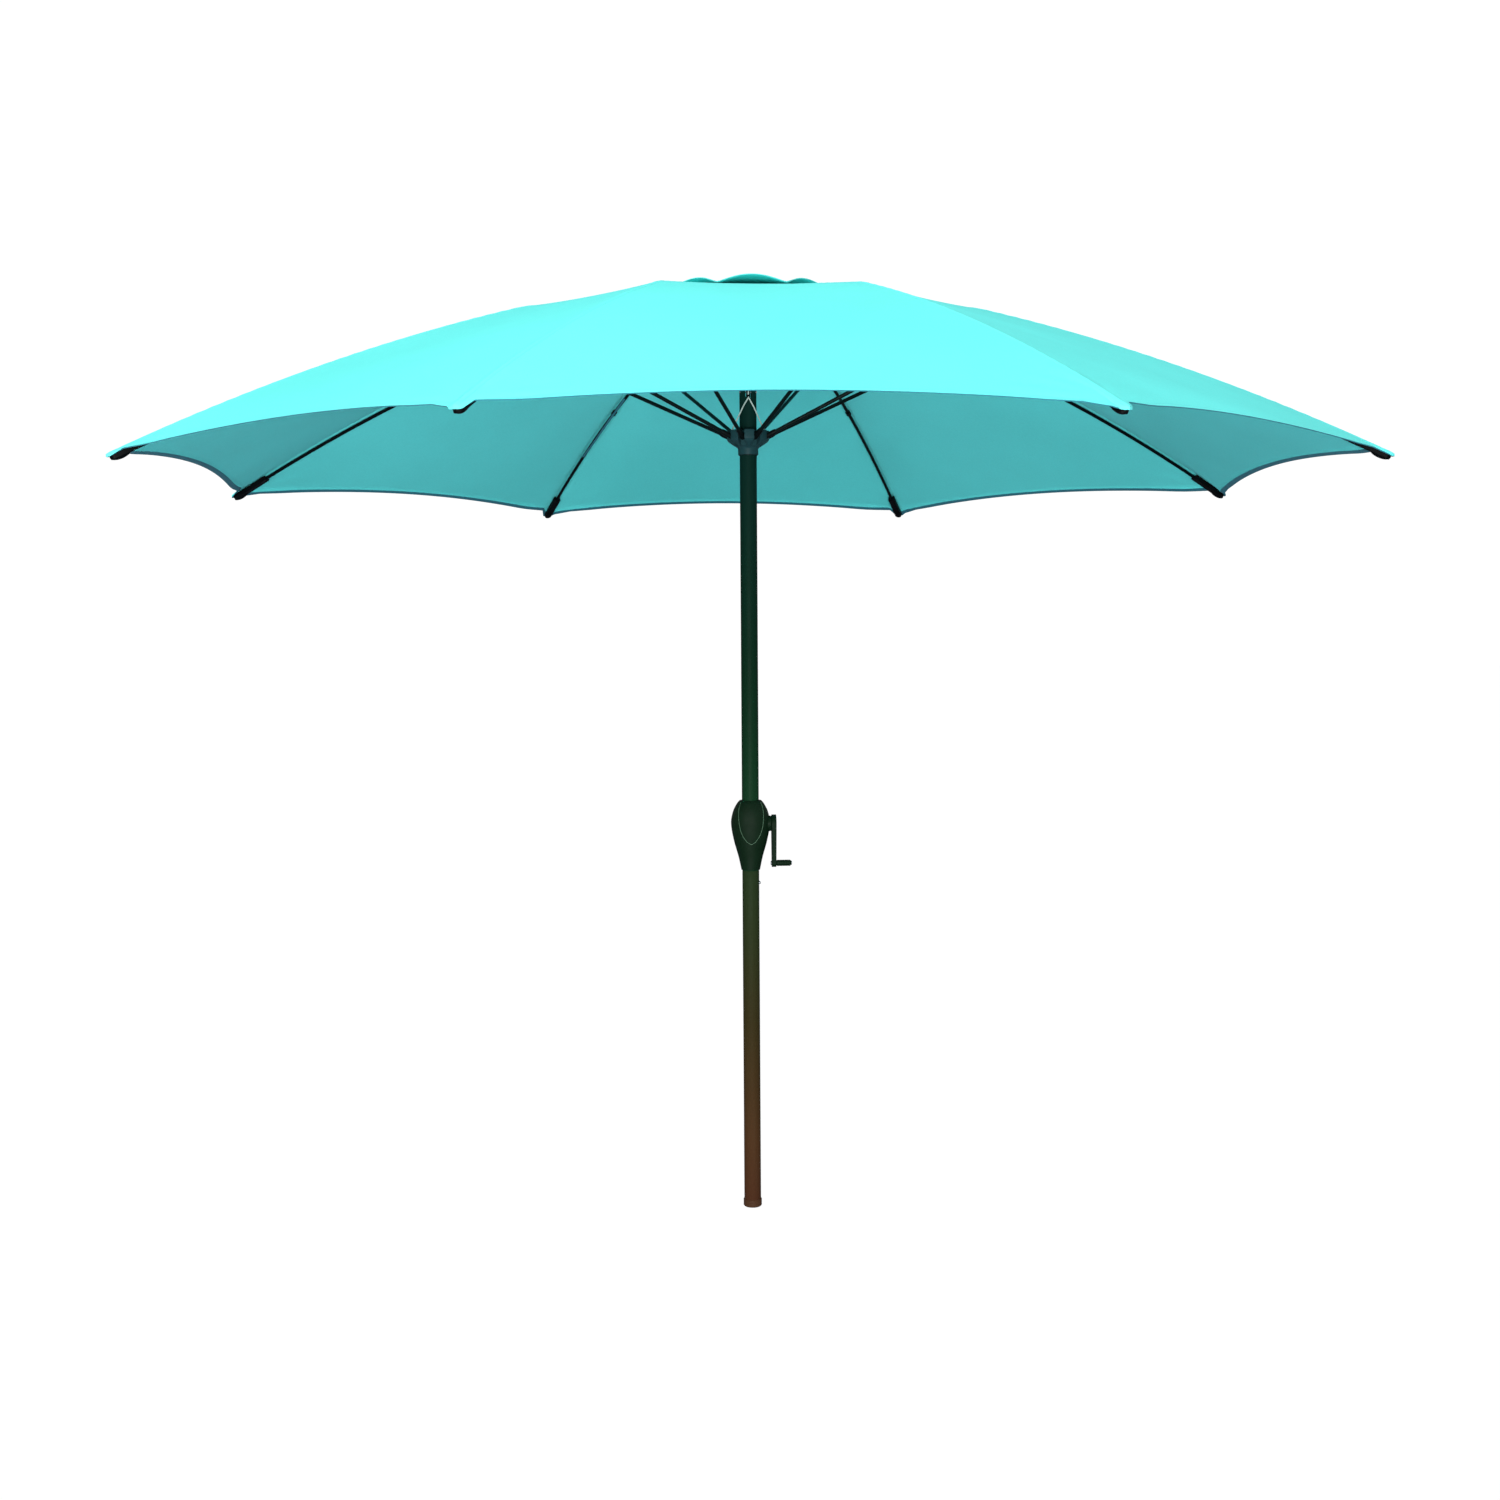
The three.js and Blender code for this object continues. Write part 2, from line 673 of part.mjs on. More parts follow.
function crankShaft() {
  const profile = [
    [0, -24],
    [SHAFT_RADIUS, -24],
    [SHAFT_RADIUS, -9.5],
    [DRUM_FLANGE, -9.5],
    [DRUM_FLANGE, -8],
    [DRUM_RADIUS, -8],
    [DRUM_RADIUS, 8],
    [DRUM_FLANGE, 8],
    [DRUM_FLANGE, 9.5],
    [SHAFT_RADIUS, 9.5],
    [SHAFT_RADIUS, 44.6],
    [8, 44.6],
    [8, 47.4],
    [SHAFT_RADIUS, 47.4],
    [SHAFT_RADIUS, 55],
    [0, 55],
  ];
  return solid(turnedOnX(profile, CRANK_HEIGHT, 14));
}

// Arm: the outline round a large and a small circle, in the YZ plane.
function crankArm() {
  const outline = new THREE.Shape();
  const lean = Math.asin((ARM_HUB_RADIUS - ARM_END_RADIUS) / ARM_LENGTH);
  outline.absarc(0, 0, ARM_HUB_RADIUS, -lean, Math.PI + lean, false);
  outline.absarc(0, -ARM_LENGTH, ARM_END_RADIUS, Math.PI + lean, 2 * Math.PI - lean, false);
  outline.closePath();
  const geometry = new THREE.ExtrudeGeometry(outline, {
    depth: ARM_THICK - 3,
    bevelEnabled: true,
    bevelThickness: 1.5,
    bevelSize: 1.5,
    bevelOffset: -1.5,
    bevelSegments: 1,
    curveSegments: 6,
  });
  geometry.rotateX(Math.PI / 2);
  geometry.rotateZ(Math.PI / 2);
  geometry.translate(ARM_INNER + 1.5, 0, CRANK_HEIGHT);
  const shaftSocket = rodOnX(SHAFT_RADIUS + GAP, 40, 55.4, CRANK_HEIGHT, 20);
  const pinHole = rodOnX(GRIP_PIN_RADIUS + GAP, 40, 70, CRANK_HEIGHT - ARM_LENGTH);
  return cut(solid(geometry), shaftSocket, pinHole);
}

function crankGrip() {
  const profile = [
    [GRIP_PIN_RADIUS + GAP, 58.2],
    [GRIP_RADIUS - 1.2, 58.2],
    [GRIP_RADIUS, 60],
    [GRIP_RADIUS - 0.8, 68],
    [GRIP_RADIUS, 80],
    [GRIP_RADIUS, 89],
    [GRIP_RADIUS - 1.5, GRIP_END],
    [GRIP_PIN_RADIUS + GAP, GRIP_END],
    [GRIP_PIN_RADIUS + GAP, 58.2],
  ];
  return solid(turnedOnX(profile, CRANK_HEIGHT - ARM_LENGTH, 12));
}

function gripPin() {
  const profile = [
    [0, 45.4],
    [4.8, 45.4],
    [4.8, 47.3],
    [GRIP_PIN_RADIUS, 47.3],
    [GRIP_PIN_RADIUS, GRIP_END + GAP],
    [4.8, GRIP_END + GAP],
    [4.2, GRIP_END + 2],
    [0, GRIP_END + 2],
  ];
  return solid(turnedOnX(profile, CRANK_HEIGHT - ARM_LENGTH, 12));
}

// ---- lift cord ----------------------------------------------------------------------------
function topPulley() {
  const profile = [
    [2.5, -4],
    [DRUM_FLANGE, -4],
    [DRUM_FLANGE, -2.6],
    [DRUM_RADIUS, -1.8],
    [DRUM_RADIUS, 1.8],
    [DRUM_FLANGE, 2.6],
    [DRUM_FLANGE, 4],
    [2.5, 4],
    [2.5, -4],
  ];
  return solid(turnedOnX(profile, PULLEY_HEIGHT, 16, PULLEY_FORWARD));
}

function pulleyPin() {
  return rodOnX(2, -19.4, 19.4, PULLEY_HEIGHT, 12, PULLEY_FORWARD);
}

// From the drum up inside the pole, over the pulley and down to the slot.
function liftCord() {
  const points = [];
  const rise = 8;
  for (let i = 0; i <= rise; i++) {
    const share = i / rise;
    const y = CORD_TURN - share * PULLEY_FORWARD;
    points.push(new THREE.Vector3(0, y, CRANK_HEIGHT + share * (PULLEY_HEIGHT - CRANK_HEIGHT)));
  }
  const bends = 8;
  for (let i = 1; i <= bends; i++) {
    const turn = (Math.PI * i) / bends;
    const y = -PULLEY_FORWARD + CORD_TURN * Math.cos(turn);
    points.push(new THREE.Vector3(0, y, PULLEY_HEIGHT + CORD_TURN * Math.sin(turn)));
  }
  points.push(new THREE.Vector3(0, -PULLEY_FORWARD - CORD_TURN, PULLEY_HEIGHT - 7));
  return sweep(points, CORD_RADIUS);
}

// Two legs from the slot, round the front of the pole, to the eyes of the runner.
function cordLoop() {
  const wrap = POLE_RADIUS + CORD_RADIUS + 0.5;
  const leave = Math.acos(wrap / EYE_RADIUS);
  const leg = [
    new THREE.Vector3(EYE_RADIUS, 0, RUNNER_PIVOT_HEIGHT),
    new THREE.Vector3(EYE_RADIUS, 0, RUNNER_TOP),
    new THREE.Vector3(EYE_RADIUS - 3, -2.1, RUNNER_TOP + 6),
  ];
  const bends = 4;
  for (let i = 0; i < bends; i++) {
    const turn = -leave - ((Math.PI / 2 - leave) * i) / bends;
    const height = SLOT_BOTTOM - 19 + (20 * i) / bends;
    leg.push(new THREE.Vector3(wrap * Math.cos(turn), wrap * Math.sin(turn), height));
  }
  const top = new THREE.Vector3(0, -wrap, SLOT_BOTTOM + 2);
  const other = leg.map((p) => new THREE.Vector3(-p.x, p.y, p.z)).reverse();
  return sweep([...leg, top, ...other], CORD_RADIUS);
}

// ---- assembly -----------------------------------------------------------------------------
const group = new THREE.Group();

function place(name, shape, material, parent = group) {
  const mesh = new THREE.Mesh(geometryOf(shape), material());
  mesh.name = name;
  parent.add(mesh);
}

for (let k = 1; k <= RIB_COUNT; k++) {
  const arm = new THREE.Group();
  arm.rotation.z = FIRST_RIB + (k - 1) * 2 * HALF_GORE;
  group.add(arm);
  place(`rib_${k}`, rib(), blackRib, arm);
  place(`rib_bracket_${k}`, ribBracket(), blackPlastic, arm);
  place(`tip_pocket_${k}`, tipPocket(), blackPlastic, arm);
  place(`canopy_gore_${k}`, gore(), turquoiseCloth, arm);
  place(`strut_${k}`, strut(), blackRib, arm);
}

const halfSpace = 100;
const frontHalf = block(-halfSpace, halfSpace, -halfSpace, -GAP / 2, 700, 1000);
const rearHalf = block(-halfSpace, halfSpace, GAP / 2, halfSpace, 700, 1000);
place("housing_front", crankCase().intersect(frontHalf), casePlastic);
place("housing_rear", crankCase().intersect(rearHalf), casePlastic);
place("housing_screw_left", housingScrew(-1), steel);
place("housing_screw_right", housingScrew(1), steel);
place("crank_shaft", crankShaft(), steel);
place("crank_arm", crankArm(), casePlastic);
place("crank_grip", crankGrip(), casePlastic);
place("grip_pin", gripPin(), steel);
place("lower_pole", lowerPole(), lowerPolePaint);
place("upper_pole", upperPole(), darkPole);
place("pole_foot", poleFoot(), blackPlastic);
place("snap_button", snapButton(), steel);
place("button_spring", buttonSpring(), steel);
place("top_hub", topHub(), blackPlastic);
place("top_cap", topCap(), blackPlastic);
place("runner", runner(), blackPlastic);
place("lift_cord", liftCord(), paleCord);
place("cord_loop", cordLoop(), paleCord);
place("top_pulley", topPulley(), steel);
place("pulley_pin", pulleyPin(), steel);

export default group;
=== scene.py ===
"""Looks of the crank-lift beach umbrella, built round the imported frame.

Metres, +Z up, pole axis on Z, crank on the +X side, rib 1 at an azimuth of 22.5 degrees.
"""

import math

import bmesh
import bpy
import numpy as np
from mathutils import Matrix, Vector


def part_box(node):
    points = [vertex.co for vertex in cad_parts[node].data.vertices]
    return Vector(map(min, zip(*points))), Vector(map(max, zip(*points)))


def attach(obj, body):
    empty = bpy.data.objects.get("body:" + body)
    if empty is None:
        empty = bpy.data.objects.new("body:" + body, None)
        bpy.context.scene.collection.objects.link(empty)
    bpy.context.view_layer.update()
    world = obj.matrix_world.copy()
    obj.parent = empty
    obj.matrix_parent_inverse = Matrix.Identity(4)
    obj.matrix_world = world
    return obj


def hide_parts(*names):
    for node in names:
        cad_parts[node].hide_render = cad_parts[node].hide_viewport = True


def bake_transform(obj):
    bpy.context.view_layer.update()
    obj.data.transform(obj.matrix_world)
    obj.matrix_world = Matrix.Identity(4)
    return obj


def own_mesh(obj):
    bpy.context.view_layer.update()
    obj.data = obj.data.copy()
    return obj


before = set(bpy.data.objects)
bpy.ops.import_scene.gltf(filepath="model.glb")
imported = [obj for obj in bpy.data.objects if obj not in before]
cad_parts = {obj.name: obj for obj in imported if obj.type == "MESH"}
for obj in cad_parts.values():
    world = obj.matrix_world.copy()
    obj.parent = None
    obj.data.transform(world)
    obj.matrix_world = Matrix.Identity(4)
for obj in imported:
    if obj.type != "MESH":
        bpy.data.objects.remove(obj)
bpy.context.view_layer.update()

# ---- dimensions ----
RIBS = 8
HALF_GORE = math.pi / RIBS
TIP_RADIUS = 1.350  # pole axis to rib tip
RIM_HEIGHT = 1.653  # rib tips above the bottom of the pole
KNEE_RADIUS = 0.518  # the ribs bend here, just inside their struts' brackets
CROWN_SLOPE = 0.16  # how steeply the cover falls from the centre to the knee
KNEE_TURN = 0.126  # how much steeper it falls just past the knee
CROWN_BEND = 0.19  # how that fall grows with the square of the distance, in tip radii

CLOTH = 0.0008  # thickness of the cloth
CLOTH_HOLE = 0.024
CLOTH_EDGE = TIP_RADIUS - 0.003
HEM_SCALLOP = 0.040  # how far the hem curves in between two tips
HEM_ARCH = 0.007  # how far the hem arches up between two tips
HEM_STEPS = (0.0165, 0.0145, 0.0095, 0.0065, 0.0035, 0.0)  # rows this far from the hem's edge
SEAM_STEPS = (0.0, 0.0035, 0.0045, 0.0100, 0.0118, 0.0145, 0.021, 0.034)  # columns off the rib
HEM_FOLD = 0.0011  # extra thickness of the folded hem
SEAM_FOLD = 0.0008  # extra height of the felled seam
PANEL_SAG = 0.005  # dip of the cover midway between two ribs
HOOD_REACH = 0.0220  # how far the cloth's corner reaches over the pocket, from the hem's start
HOOD_END = 0.0060  # how far it turns down over the pocket's end
HOOD_SIDE = 0.0045  # how far it hangs beside the pocket, on the side where y < 0
HOOD_CUT = 0.0140  # how far the hem is cut back on the other side
FLAP_RADIUS = 0.195  # wind vent flap, from the pole axis to its corners on the ribs
FLAP_LIFT = 0.0045
FLAP_ARCH = 0.018
FLAP_SCALLOP = 0.010

RIB_DROP = 0.011  # rib axis below the cover's top
RIB_RADIUS = 0.004
FERRULE_PLACE = 0.597 * TIP_RADIUS
TONGUE = 0.0056
HUB_PIVOT_RADIUS = 0.040
STRUT_JOINT_RADIUS = 0.533
STRUT_JOINT_DROP = 0.011
STRUT_RADIUS = 0.00425
RUNNER_PIVOT = np.array([0.038, 1.738])
RUNNER_SLOT = 0.015
RUNNER_CORE = 0.028
POCKET_LENGTH = 0.100
POCKET_WIDTH = 0.018
POCKET_THICK = 0.011

POLE_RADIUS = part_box("lower_pole")[1].x
POLE_BORE = 0.0175
PLUG_RADIUS = 0.0172
PLUG_BORE = 0.0154
JOIN_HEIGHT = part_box("lower_pole")[1].z
PLUG_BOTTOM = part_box("upper_pole")[0].z
POLE_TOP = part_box("upper_pole")[1].z
SLOT_WIDTH = 0.013
SLOT_HEIGHTS = (1.823, 1.862)
PULLEY_HEIGHT = 1.838
BUTTON_HEIGHT = (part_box("snap_button")[0].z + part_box("snap_button")[1].z) / 2
CRANK_HEIGHT = (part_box("crank_shaft")[0].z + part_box("crank_shaft")[1].z) / 2
ARM_LENGTH = 0.090
CASE_NECK = 0.021  # half width at the bottom of the crank case
CASE_DEPTH = 0.6  # share of the bulge that the case has front to back
CASE_WALL = 0.003
CASE_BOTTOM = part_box("housing_front")[0].z
CASE_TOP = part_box("housing_front")[1].z
EYE_RADIUS = 0.0365
CORD_RADIUS = 0.0015
GAP = 0.0003

ON_X = Matrix.Rotation(math.pi / 2, 4, "Y")  # turns +Z to +X
ON_Y = Matrix.Rotation(-math.pi / 2, 4, "X")  # turns +Z to +Y


def crown_fall(share):
    """How far the cover has fallen at a distance from the pole axis, both in tip radii."""
    past = np.maximum(0, share - KNEE_RADIUS / TIP_RADIUS)
    return CROWN_SLOPE * share + KNEE_TURN * past + CROWN_BEND * past**2


def crown(radius):
    """Height of the cover's top over a rib, at a distance from the pole axis."""
    return RIM_HEIGHT + TIP_RADIUS * (crown_fall(1.0) - crown_fall(radius / TIP_RADIUS))


def crown_tangent(radius):
    past = (radius - KNEE_RADIUS) / TIP_RADIUS
    slope = CROWN_SLOPE + (KNEE_TURN + 2 * CROWN_BEND * past if past > 0 else 0)
    return np.array([1.0, -slope]) / math.hypot(1.0, slope)


def rib_axis(radius):
    return np.array([radius, crown(radius) - RIB_DROP])


HUB_PIVOT = rib_axis(HUB_PIVOT_RADIUS)
JOINT_TANGENT = crown_tangent(STRUT_JOINT_RADIUS)
JOINT_DOWN = np.array([JOINT_TANGENT[1], -JOINT_TANGENT[0]])
STRUT_JOINT = rib_axis(STRUT_JOINT_RADIUS) + JOINT_DOWN * STRUT_JOINT_DROP


def azimuth(k):
    return HALF_GORE * (2 * k - 1)


def on_rib(k):
    """The frame of rib k: its X runs out along the rib."""
    return Matrix.Rotation(azimuth(k), 4, "Z")


def leaning(start, direction):
    """The frame of a line in the XZ plane: its X runs along the line, its Y stays."""
    turn = Matrix.Rotation(-math.atan2(direction[1], direction[0]), 4, "Y")
    return Matrix.Translation((start[0], 0, start[1])) @ turn


# ---- shapes: (points, faces) ----
def placed(shape, matrix):
    points, faces = shape
    m = np.array(matrix)
    return points @ m[:3, :3].T + m[:3, 3], faces


def fillet(corners, radius, steps=4, closed=False):
    """A 2-D line with its corners rounded off."""
    corners = [np.array(c, float) for c in corners]
    line = []
    for i, here in enumerate(corners):
        if not closed and i in (0, len(corners) - 1):
            line.append(here)
            continue
        back = corners[i - 1] - here
        on = corners[(i + 1) % len(corners)] - here
        reach = min(radius, 0.45 * np.linalg.norm(back), 0.45 * np.linalg.norm(on))
        back *= reach / np.linalg.norm(back)
        on *= reach / np.linalg.norm(on)
        for t in np.linspace(0, 1, steps + 1):
            line.append(here + back * (1 - t) ** 2 + on * t**2)
    return np.array(line)


def skin(rows, columns, round_rows=False, round_columns=True):
    """Quads between rows of points, with the last row or column joined to the first if round."""
    faces = []
    for i in range(rows if round_rows else rows - 1):
        for j in range(columns if round_columns else columns - 1):
            on, up = (j + 1) % columns, (i + 1) % rows
            faces.append((i * columns + j, i * columns + on, up * columns + on, up * columns + j))
    return faces


def ends_of(rings, sides):
    """The end faces of a solid made of rings of points."""
    last = (rings - 1) * sides
    return [tuple(reversed(range(sides))), tuple(range(last, last + sides))]


def lathe(profile, sides=64, closed=False):
    """A solid turned about Z from (radius, height) points; a closed profile makes a ring."""
    profile = np.asarray(profile, float)
    turn = np.arange(sides) * 2 * math.pi / sides
    rings = np.empty((len(profile), sides, 3))
    rings[:, :, 0] = profile[:, :1] * np.cos(turn)
    rings[:, :, 1] = profile[:, :1] * np.sin(turn)
    rings[:, :, 2] = profile[:, 1:]
    faces = skin(len(profile), sides, round_rows=closed)
    if not closed:
        faces += ends_of(len(profile), sides)
    return rings.reshape(-1, 3), faces


def tube(line, radius, sides=16):
    """A round bar along a line; radius is one number or one for each point."""
    line = np.asarray(line, float)
    radius = np.broadcast_to(radius, len(line))
    tangent = np.gradient(line, axis=0)
    tangent /= np.linalg.norm(tangent, axis=1)[:, None]
    side = np.cross(tangent[0], [0.31, 0.95, 0.05])
    turn = np.arange(sides) * 2 * math.pi / sides
    rings = []
    for here, along, size in zip(line, tangent, radius):
        side = side - along * (side @ along)
        side /= np.linalg.norm(side)
        other = np.cross(along, side)
        rings.append(here + size * (np.outer(np.cos(turn), side) + np.outer(np.sin(turn), other)))
    return np.concatenate(rings), skin(len(line), sides) + ends_of(len(line), sides)


def slab(outline, low, high):
    """A flat solid: an outline in the XY plane between two heights."""
    outline = np.asarray(outline, float)
    count = len(outline)
    points = np.empty((2, count, 3))
    points[:, :, :2] = outline
    points[0, :, 2] = low
    points[1, :, 2] = high
    return points.reshape(-1, 3), skin(2, count) + ends_of(2, count)


def plate(outline, thickness, shift=0.0):
    """A flat solid with its outline in the XZ plane, centred on y = shift."""
    upright = Matrix.Rotation(math.pi / 2, 4, "X")
    half = thickness / 2
    return placed(slab(outline, -half - shift, half - shift), upright)


def stadium(start, end, half, steps=8):
    """The outline of a bar with round ends, along X."""
    turn = np.linspace(-math.pi / 2, math.pi / 2, steps + 1)
    cap = np.stack([np.cos(turn), np.sin(turn)], axis=1) * half
    return np.concatenate([cap + [end, 0], -cap + [start, 0]])


def mirrored(profile):
    """A profile from one end to its middle, completed by its mirror image."""
    return profile + [(radius, -height) for radius, height in reversed(profile)]


def all_round(shape):
    """Copies of a shape on every rib azimuth."""
    return [placed(shape, on_rib(k)) for k in range(1, RIBS + 1)]


def along_x(shape, height, forward=0.0):
    """A turned shape laid along X at a height on the pole."""
    return placed(shape, Matrix.Translation((0, -forward, height)) @ ON_X)


def box_shape(low, high):
    outline = [(low[0], low[1]), (high[0], low[1]), (high[0], high[1]), (low[0], high[1])]
    return slab(outline, low[2], high[2])


# ---- pieces ----
def linked(name, data):
    """A new object in the scene."""
    made = bpy.data.objects.new(name, data)
    bpy.context.scene.collection.objects.link(made)
    return made


def new_object(name, parts, sharp=35.0, uvs=None, weld=0.0):
    """An object made of (shape, material) parts; uvs gives its UV maps from its points."""
    mesh = bpy.data.meshes.new(name)
    materials = list(dict.fromkeys(material for _, material in parts))
    points, faces, index = [], [], []
    for (own_points, own_faces), material in parts:
        start = len(points)
        points += own_points.tolist()
        faces += [tuple(start + i for i in face) for face in own_faces]
        index += [materials.index(material)] * len(own_faces)
    mesh.from_pydata(points, [], faces)
    mesh.polygons.foreach_set("material_index", index)
    for material in materials:
        mesh.materials.append(material)
    solid = bmesh.new()
    solid.from_mesh(mesh)
    if weld:
        bmesh.ops.remove_doubles(solid, verts=solid.verts, dist=weld)
    bmesh.ops.recalc_face_normals(solid, faces=solid.faces)
    solid.to_mesh(mesh)
    solid.free()
    finish_mesh(mesh, sharp)
    for label, coordinates in (uvs or {}).items():
        add_uv(mesh, label, coordinates)
    return linked(name, mesh)


def finish_mesh(mesh, sharp):
    mesh.polygons.foreach_set("use_smooth", [True] * len(mesh.polygons))
    mesh.set_sharp_from_angle(angle=math.radians(sharp))


def add_uv(mesh, label, coordinates):
    """A UV map from a function of the points, in metres."""
    points = np.empty(len(mesh.vertices) * 3)
    mesh.vertices.foreach_get("co", points)
    corners = np.empty(len(mesh.loops), int)
    mesh.loops.foreach_get("vertex_index", corners)
    layer = mesh.uv_layers.new(name=label)
    layer.data.foreach_set("uv", coordinates(points.reshape(-1, 3))[corners].ravel())


def carve(made, shapes, sharp=35.0):
    """Takes shapes out of an object."""
    knife = new_object("knife", [(shape, None) for shape in shapes])
    modifier = made.modifiers.new("carve", "BOOLEAN")
    modifier.operation = "DIFFERENCE"
    modifier.solver = "EXACT"
    modifier.use_self = True
    modifier.object = knife
    shown = made.evaluated_get(bpy.context.evaluated_depsgraph_get())
    mesh = bpy.data.meshes.new_from_object(shown)
    made.modifiers.clear()
    made.data = mesh
    finish_mesh(mesh, sharp)
    bpy.data.objects.remove(knife)


def soften(made, width, segments=2):
    """Rounds the sharp edges of a rigid piece."""
    modifier = made.modifiers.new("soften", "BEVEL")
    modifier.width = width
    modifier.segments = segments
    modifier.limit_method = "ANGLE"
    modifier.angle_limit = math.radians(40)
    modifier.harden_normals = True


def settle(made, body, slot, *nodes):
    """A finished piece rides on its body and stands for CAD nodes."""
    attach(made, body)
    if nodes:
        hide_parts(*nodes)


def single(name, shape, material, body, slot, *nodes):
    """A piece of one shape and one material."""
    settle(new_object(name, [(shape, material)]), body, slot, *nodes)


# ---- materials ----
def tint(code):
    """A linear colour from a hexadecimal screen colour."""
    parts = [int(code[i : i + 2], 16) / 255 for i in (0, 2, 4)]
    linear = [p / 12.92 if p <= 0.04045 else ((p + 0.055) / 1.055) ** 2.4 for p in parts]
    return (*linear, 1.0)


class Look:
    """A material under construction: its Principled shader and the nodes that feed it."""

    def __init__(self, name, **values):
        self.material = bpy.data.materials.new(name)
        self.material.use_nodes = True
        self.tree = self.material.node_tree
        self.shader = self.tree.nodes["Principled BSDF"]
        for key, value in values.items():
            self.shader.inputs[key.replace("_", " ")].default_value = value

    def node(self, kind, inputs=None, **settings):
        made = self.tree.nodes.new("ShaderNode" + kind)
        for key, value in settings.items():
            setattr(made, key, value)
        for key, value in (inputs or {}).items():
            self.feed(made.inputs[key], value)
        return made

    def feed(self, socket, value):
        if isinstance(value, bpy.types.NodeSocket):
            self.tree.links.new(value, socket)
        else:
            socket.default_value = value

    def math(self, operation, *values):
        made = self.node("Math", dict(enumerate(values)), operation=operation)
        return made.outputs[0]

    def mix(self, share, first, second):
        made = self.node("Mix", {"Factor": share}, data_type="RGBA")
        self.feed(made.inputs[6], first)
        self.feed(made.inputs[7], second)
        return made.outputs[2]

    def place(self):
        return self.node("TexCoord").outputs["Object"]

    def noise(self, scale, detail=3.0, stretch=(1, 1, 1)):
        place = self.node("Mapping", {"Vector": self.place(), "Scale": stretch}).outputs[0]
        inputs = {"Vector": place, "Scale": scale, "Detail": detail}
        return self.node("TexNoise", inputs).outputs["Fac"]

    def spread(self, value, low, high, to_low=0.0, to_high=1.0):
        names = ("Value", "From Min", "From Max", "To Min", "To Max")
        inputs = dict(zip(names, (value, low, high, to_low, to_high)))
        return self.node("MapRange", inputs).outputs[0]

    def paint(self, color):
        self.feed(self.shader.inputs["Base Color"], color)

    def rough(self, value):
        self.feed(self.shader.inputs["Roughness"], value)

    def bump(self, *layers):
        """Layers of (height, distance in metres), one over the other."""
        normal = None
        for height, distance in layers:
            inputs = {"Height": height, "Distance": distance, "Strength": 1.0}
            if normal:
                inputs["Normal"] = normal
            normal = self.node("Bump", inputs).outputs[0]
        self.feed(self.shader.inputs["Normal"], normal)

    def mix_in(self, share, second):
        """Mixes a second shader with the Principled one by its share of the surface."""
        mixed = self.node("MixShader", {0: share})
        self.tree.links.new(self.shader.outputs[0], mixed.inputs[1])
        self.tree.links.new(second.outputs[0], mixed.inputs[2])
        output = self.tree.nodes["Material Output"]
        self.tree.links.new(mixed.outputs[0], output.inputs["Surface"])

    def worn_edges(self, color, worn, amount):
        """The colour, lighter where an edge stands out."""
        edge = self.spread(self.node("NewGeometry").outputs["Pointiness"], 0.56, 0.68)
        broken = self.spread(self.noise(90, 4), 0.4, 0.62)
        share = self.math("MULTIPLY", self.math("MULTIPLY", edge, broken), amount)
        return self.mix(share, color, worn)


def stitches(look, map_name, across, at, along, pitch=0.0042):
    """1 on a row of stitches in a UV map: at a distance on one axis, dashes along the other."""
    uv = look.node("UVMap", uv_map=map_name).outputs[0]
    parts = look.node("SeparateXYZ", {0: uv}).outputs
    line = look.math("COMPARE", look.math("ABSOLUTE", parts[across]), at, 0.00045)
    dash = look.math("FRACT", look.math("DIVIDE", parts[along], pitch))
    return look.math("MULTIPLY", line, look.math("LESS_THAN", dash, 0.68))


def weave(look, pitch=0.0009):
    """Height of a plain weave on the UV map in metres: threads over and under."""
    uv = look.node("UVMap", uv_map="weave").outputs[0]
    threads = []
    for axis in "XY":
        inputs = {"Vector": uv, "Scale": 2 * math.pi / (20 * pitch)}
        threads.append(look.node("TexWave", inputs, bands_direction=axis).outputs["Fac"])
    over = look.math("MAXIMUM", *threads)
    under = look.math("MULTIPLY", *threads)
    return look.math("SUBTRACT", over, look.math("MULTIPLY", under, 0.8))


def cloth_look(name, light, deep, see_through):
    """Woven polyester: sun-worn turquoise that lets some light through."""
    sheen = {"Sheen_Weight": 0.04, "Sheen_Roughness": 0.5}
    look = Look(name, Roughness=0.9, Specular_IOR_Level=0.1, **sheen)
    threads = weave(look)
    broad = look.spread(look.noise(2.6, 4), 0.3, 0.7)
    slub = look.spread(look.noise(220, 2, (1, 1, 0.2)), 0.35, 0.65)
    tone = look.math("ADD", look.math("MULTIPLY", broad, 0.7), look.math("MULTIPLY", slub, 0.3))
    color = look.mix(tone, deep, light)
    hem_row = stitches(look, "hem", 1, 0.012, 0)
    sewn = look.math("MAXIMUM", hem_row, stitches(look, "weave", 0, 0.0065, 1))
    color = look.mix(look.math("MULTIPLY", sewn, 0.5), color, tint("2f9aa8"))
    look.paint(color)
    look.bump((threads, 0.00012), (look.noise(45, 3), 0.0006), (sewn, 0.0003))
    look.mix_in(see_through, look.node("BsdfTranslucent", {"Color": color}))
    return look.material


def plastic_look(name, color, worn, roughness, grain=900, shine=0.06):
    """Moulded plastic with a fine grain, uneven gloss and pale edges."""
    look = Look(name, Specular_IOR_Level=shine)
    cloudy = look.spread(look.noise(35, 4), 0.3, 0.7)
    dusty = look.mix(look.math("MULTIPLY", cloudy, 0.05), tint(color), tint(worn))
    look.paint(look.worn_edges(dusty, tint(worn), 0.25))
    look.rough(look.spread(look.noise(60, 3), 0.3, 0.7, roughness - 0.06, roughness + 0.08))
    look.bump((look.noise(grain, 2), 0.00004))
    return look.material


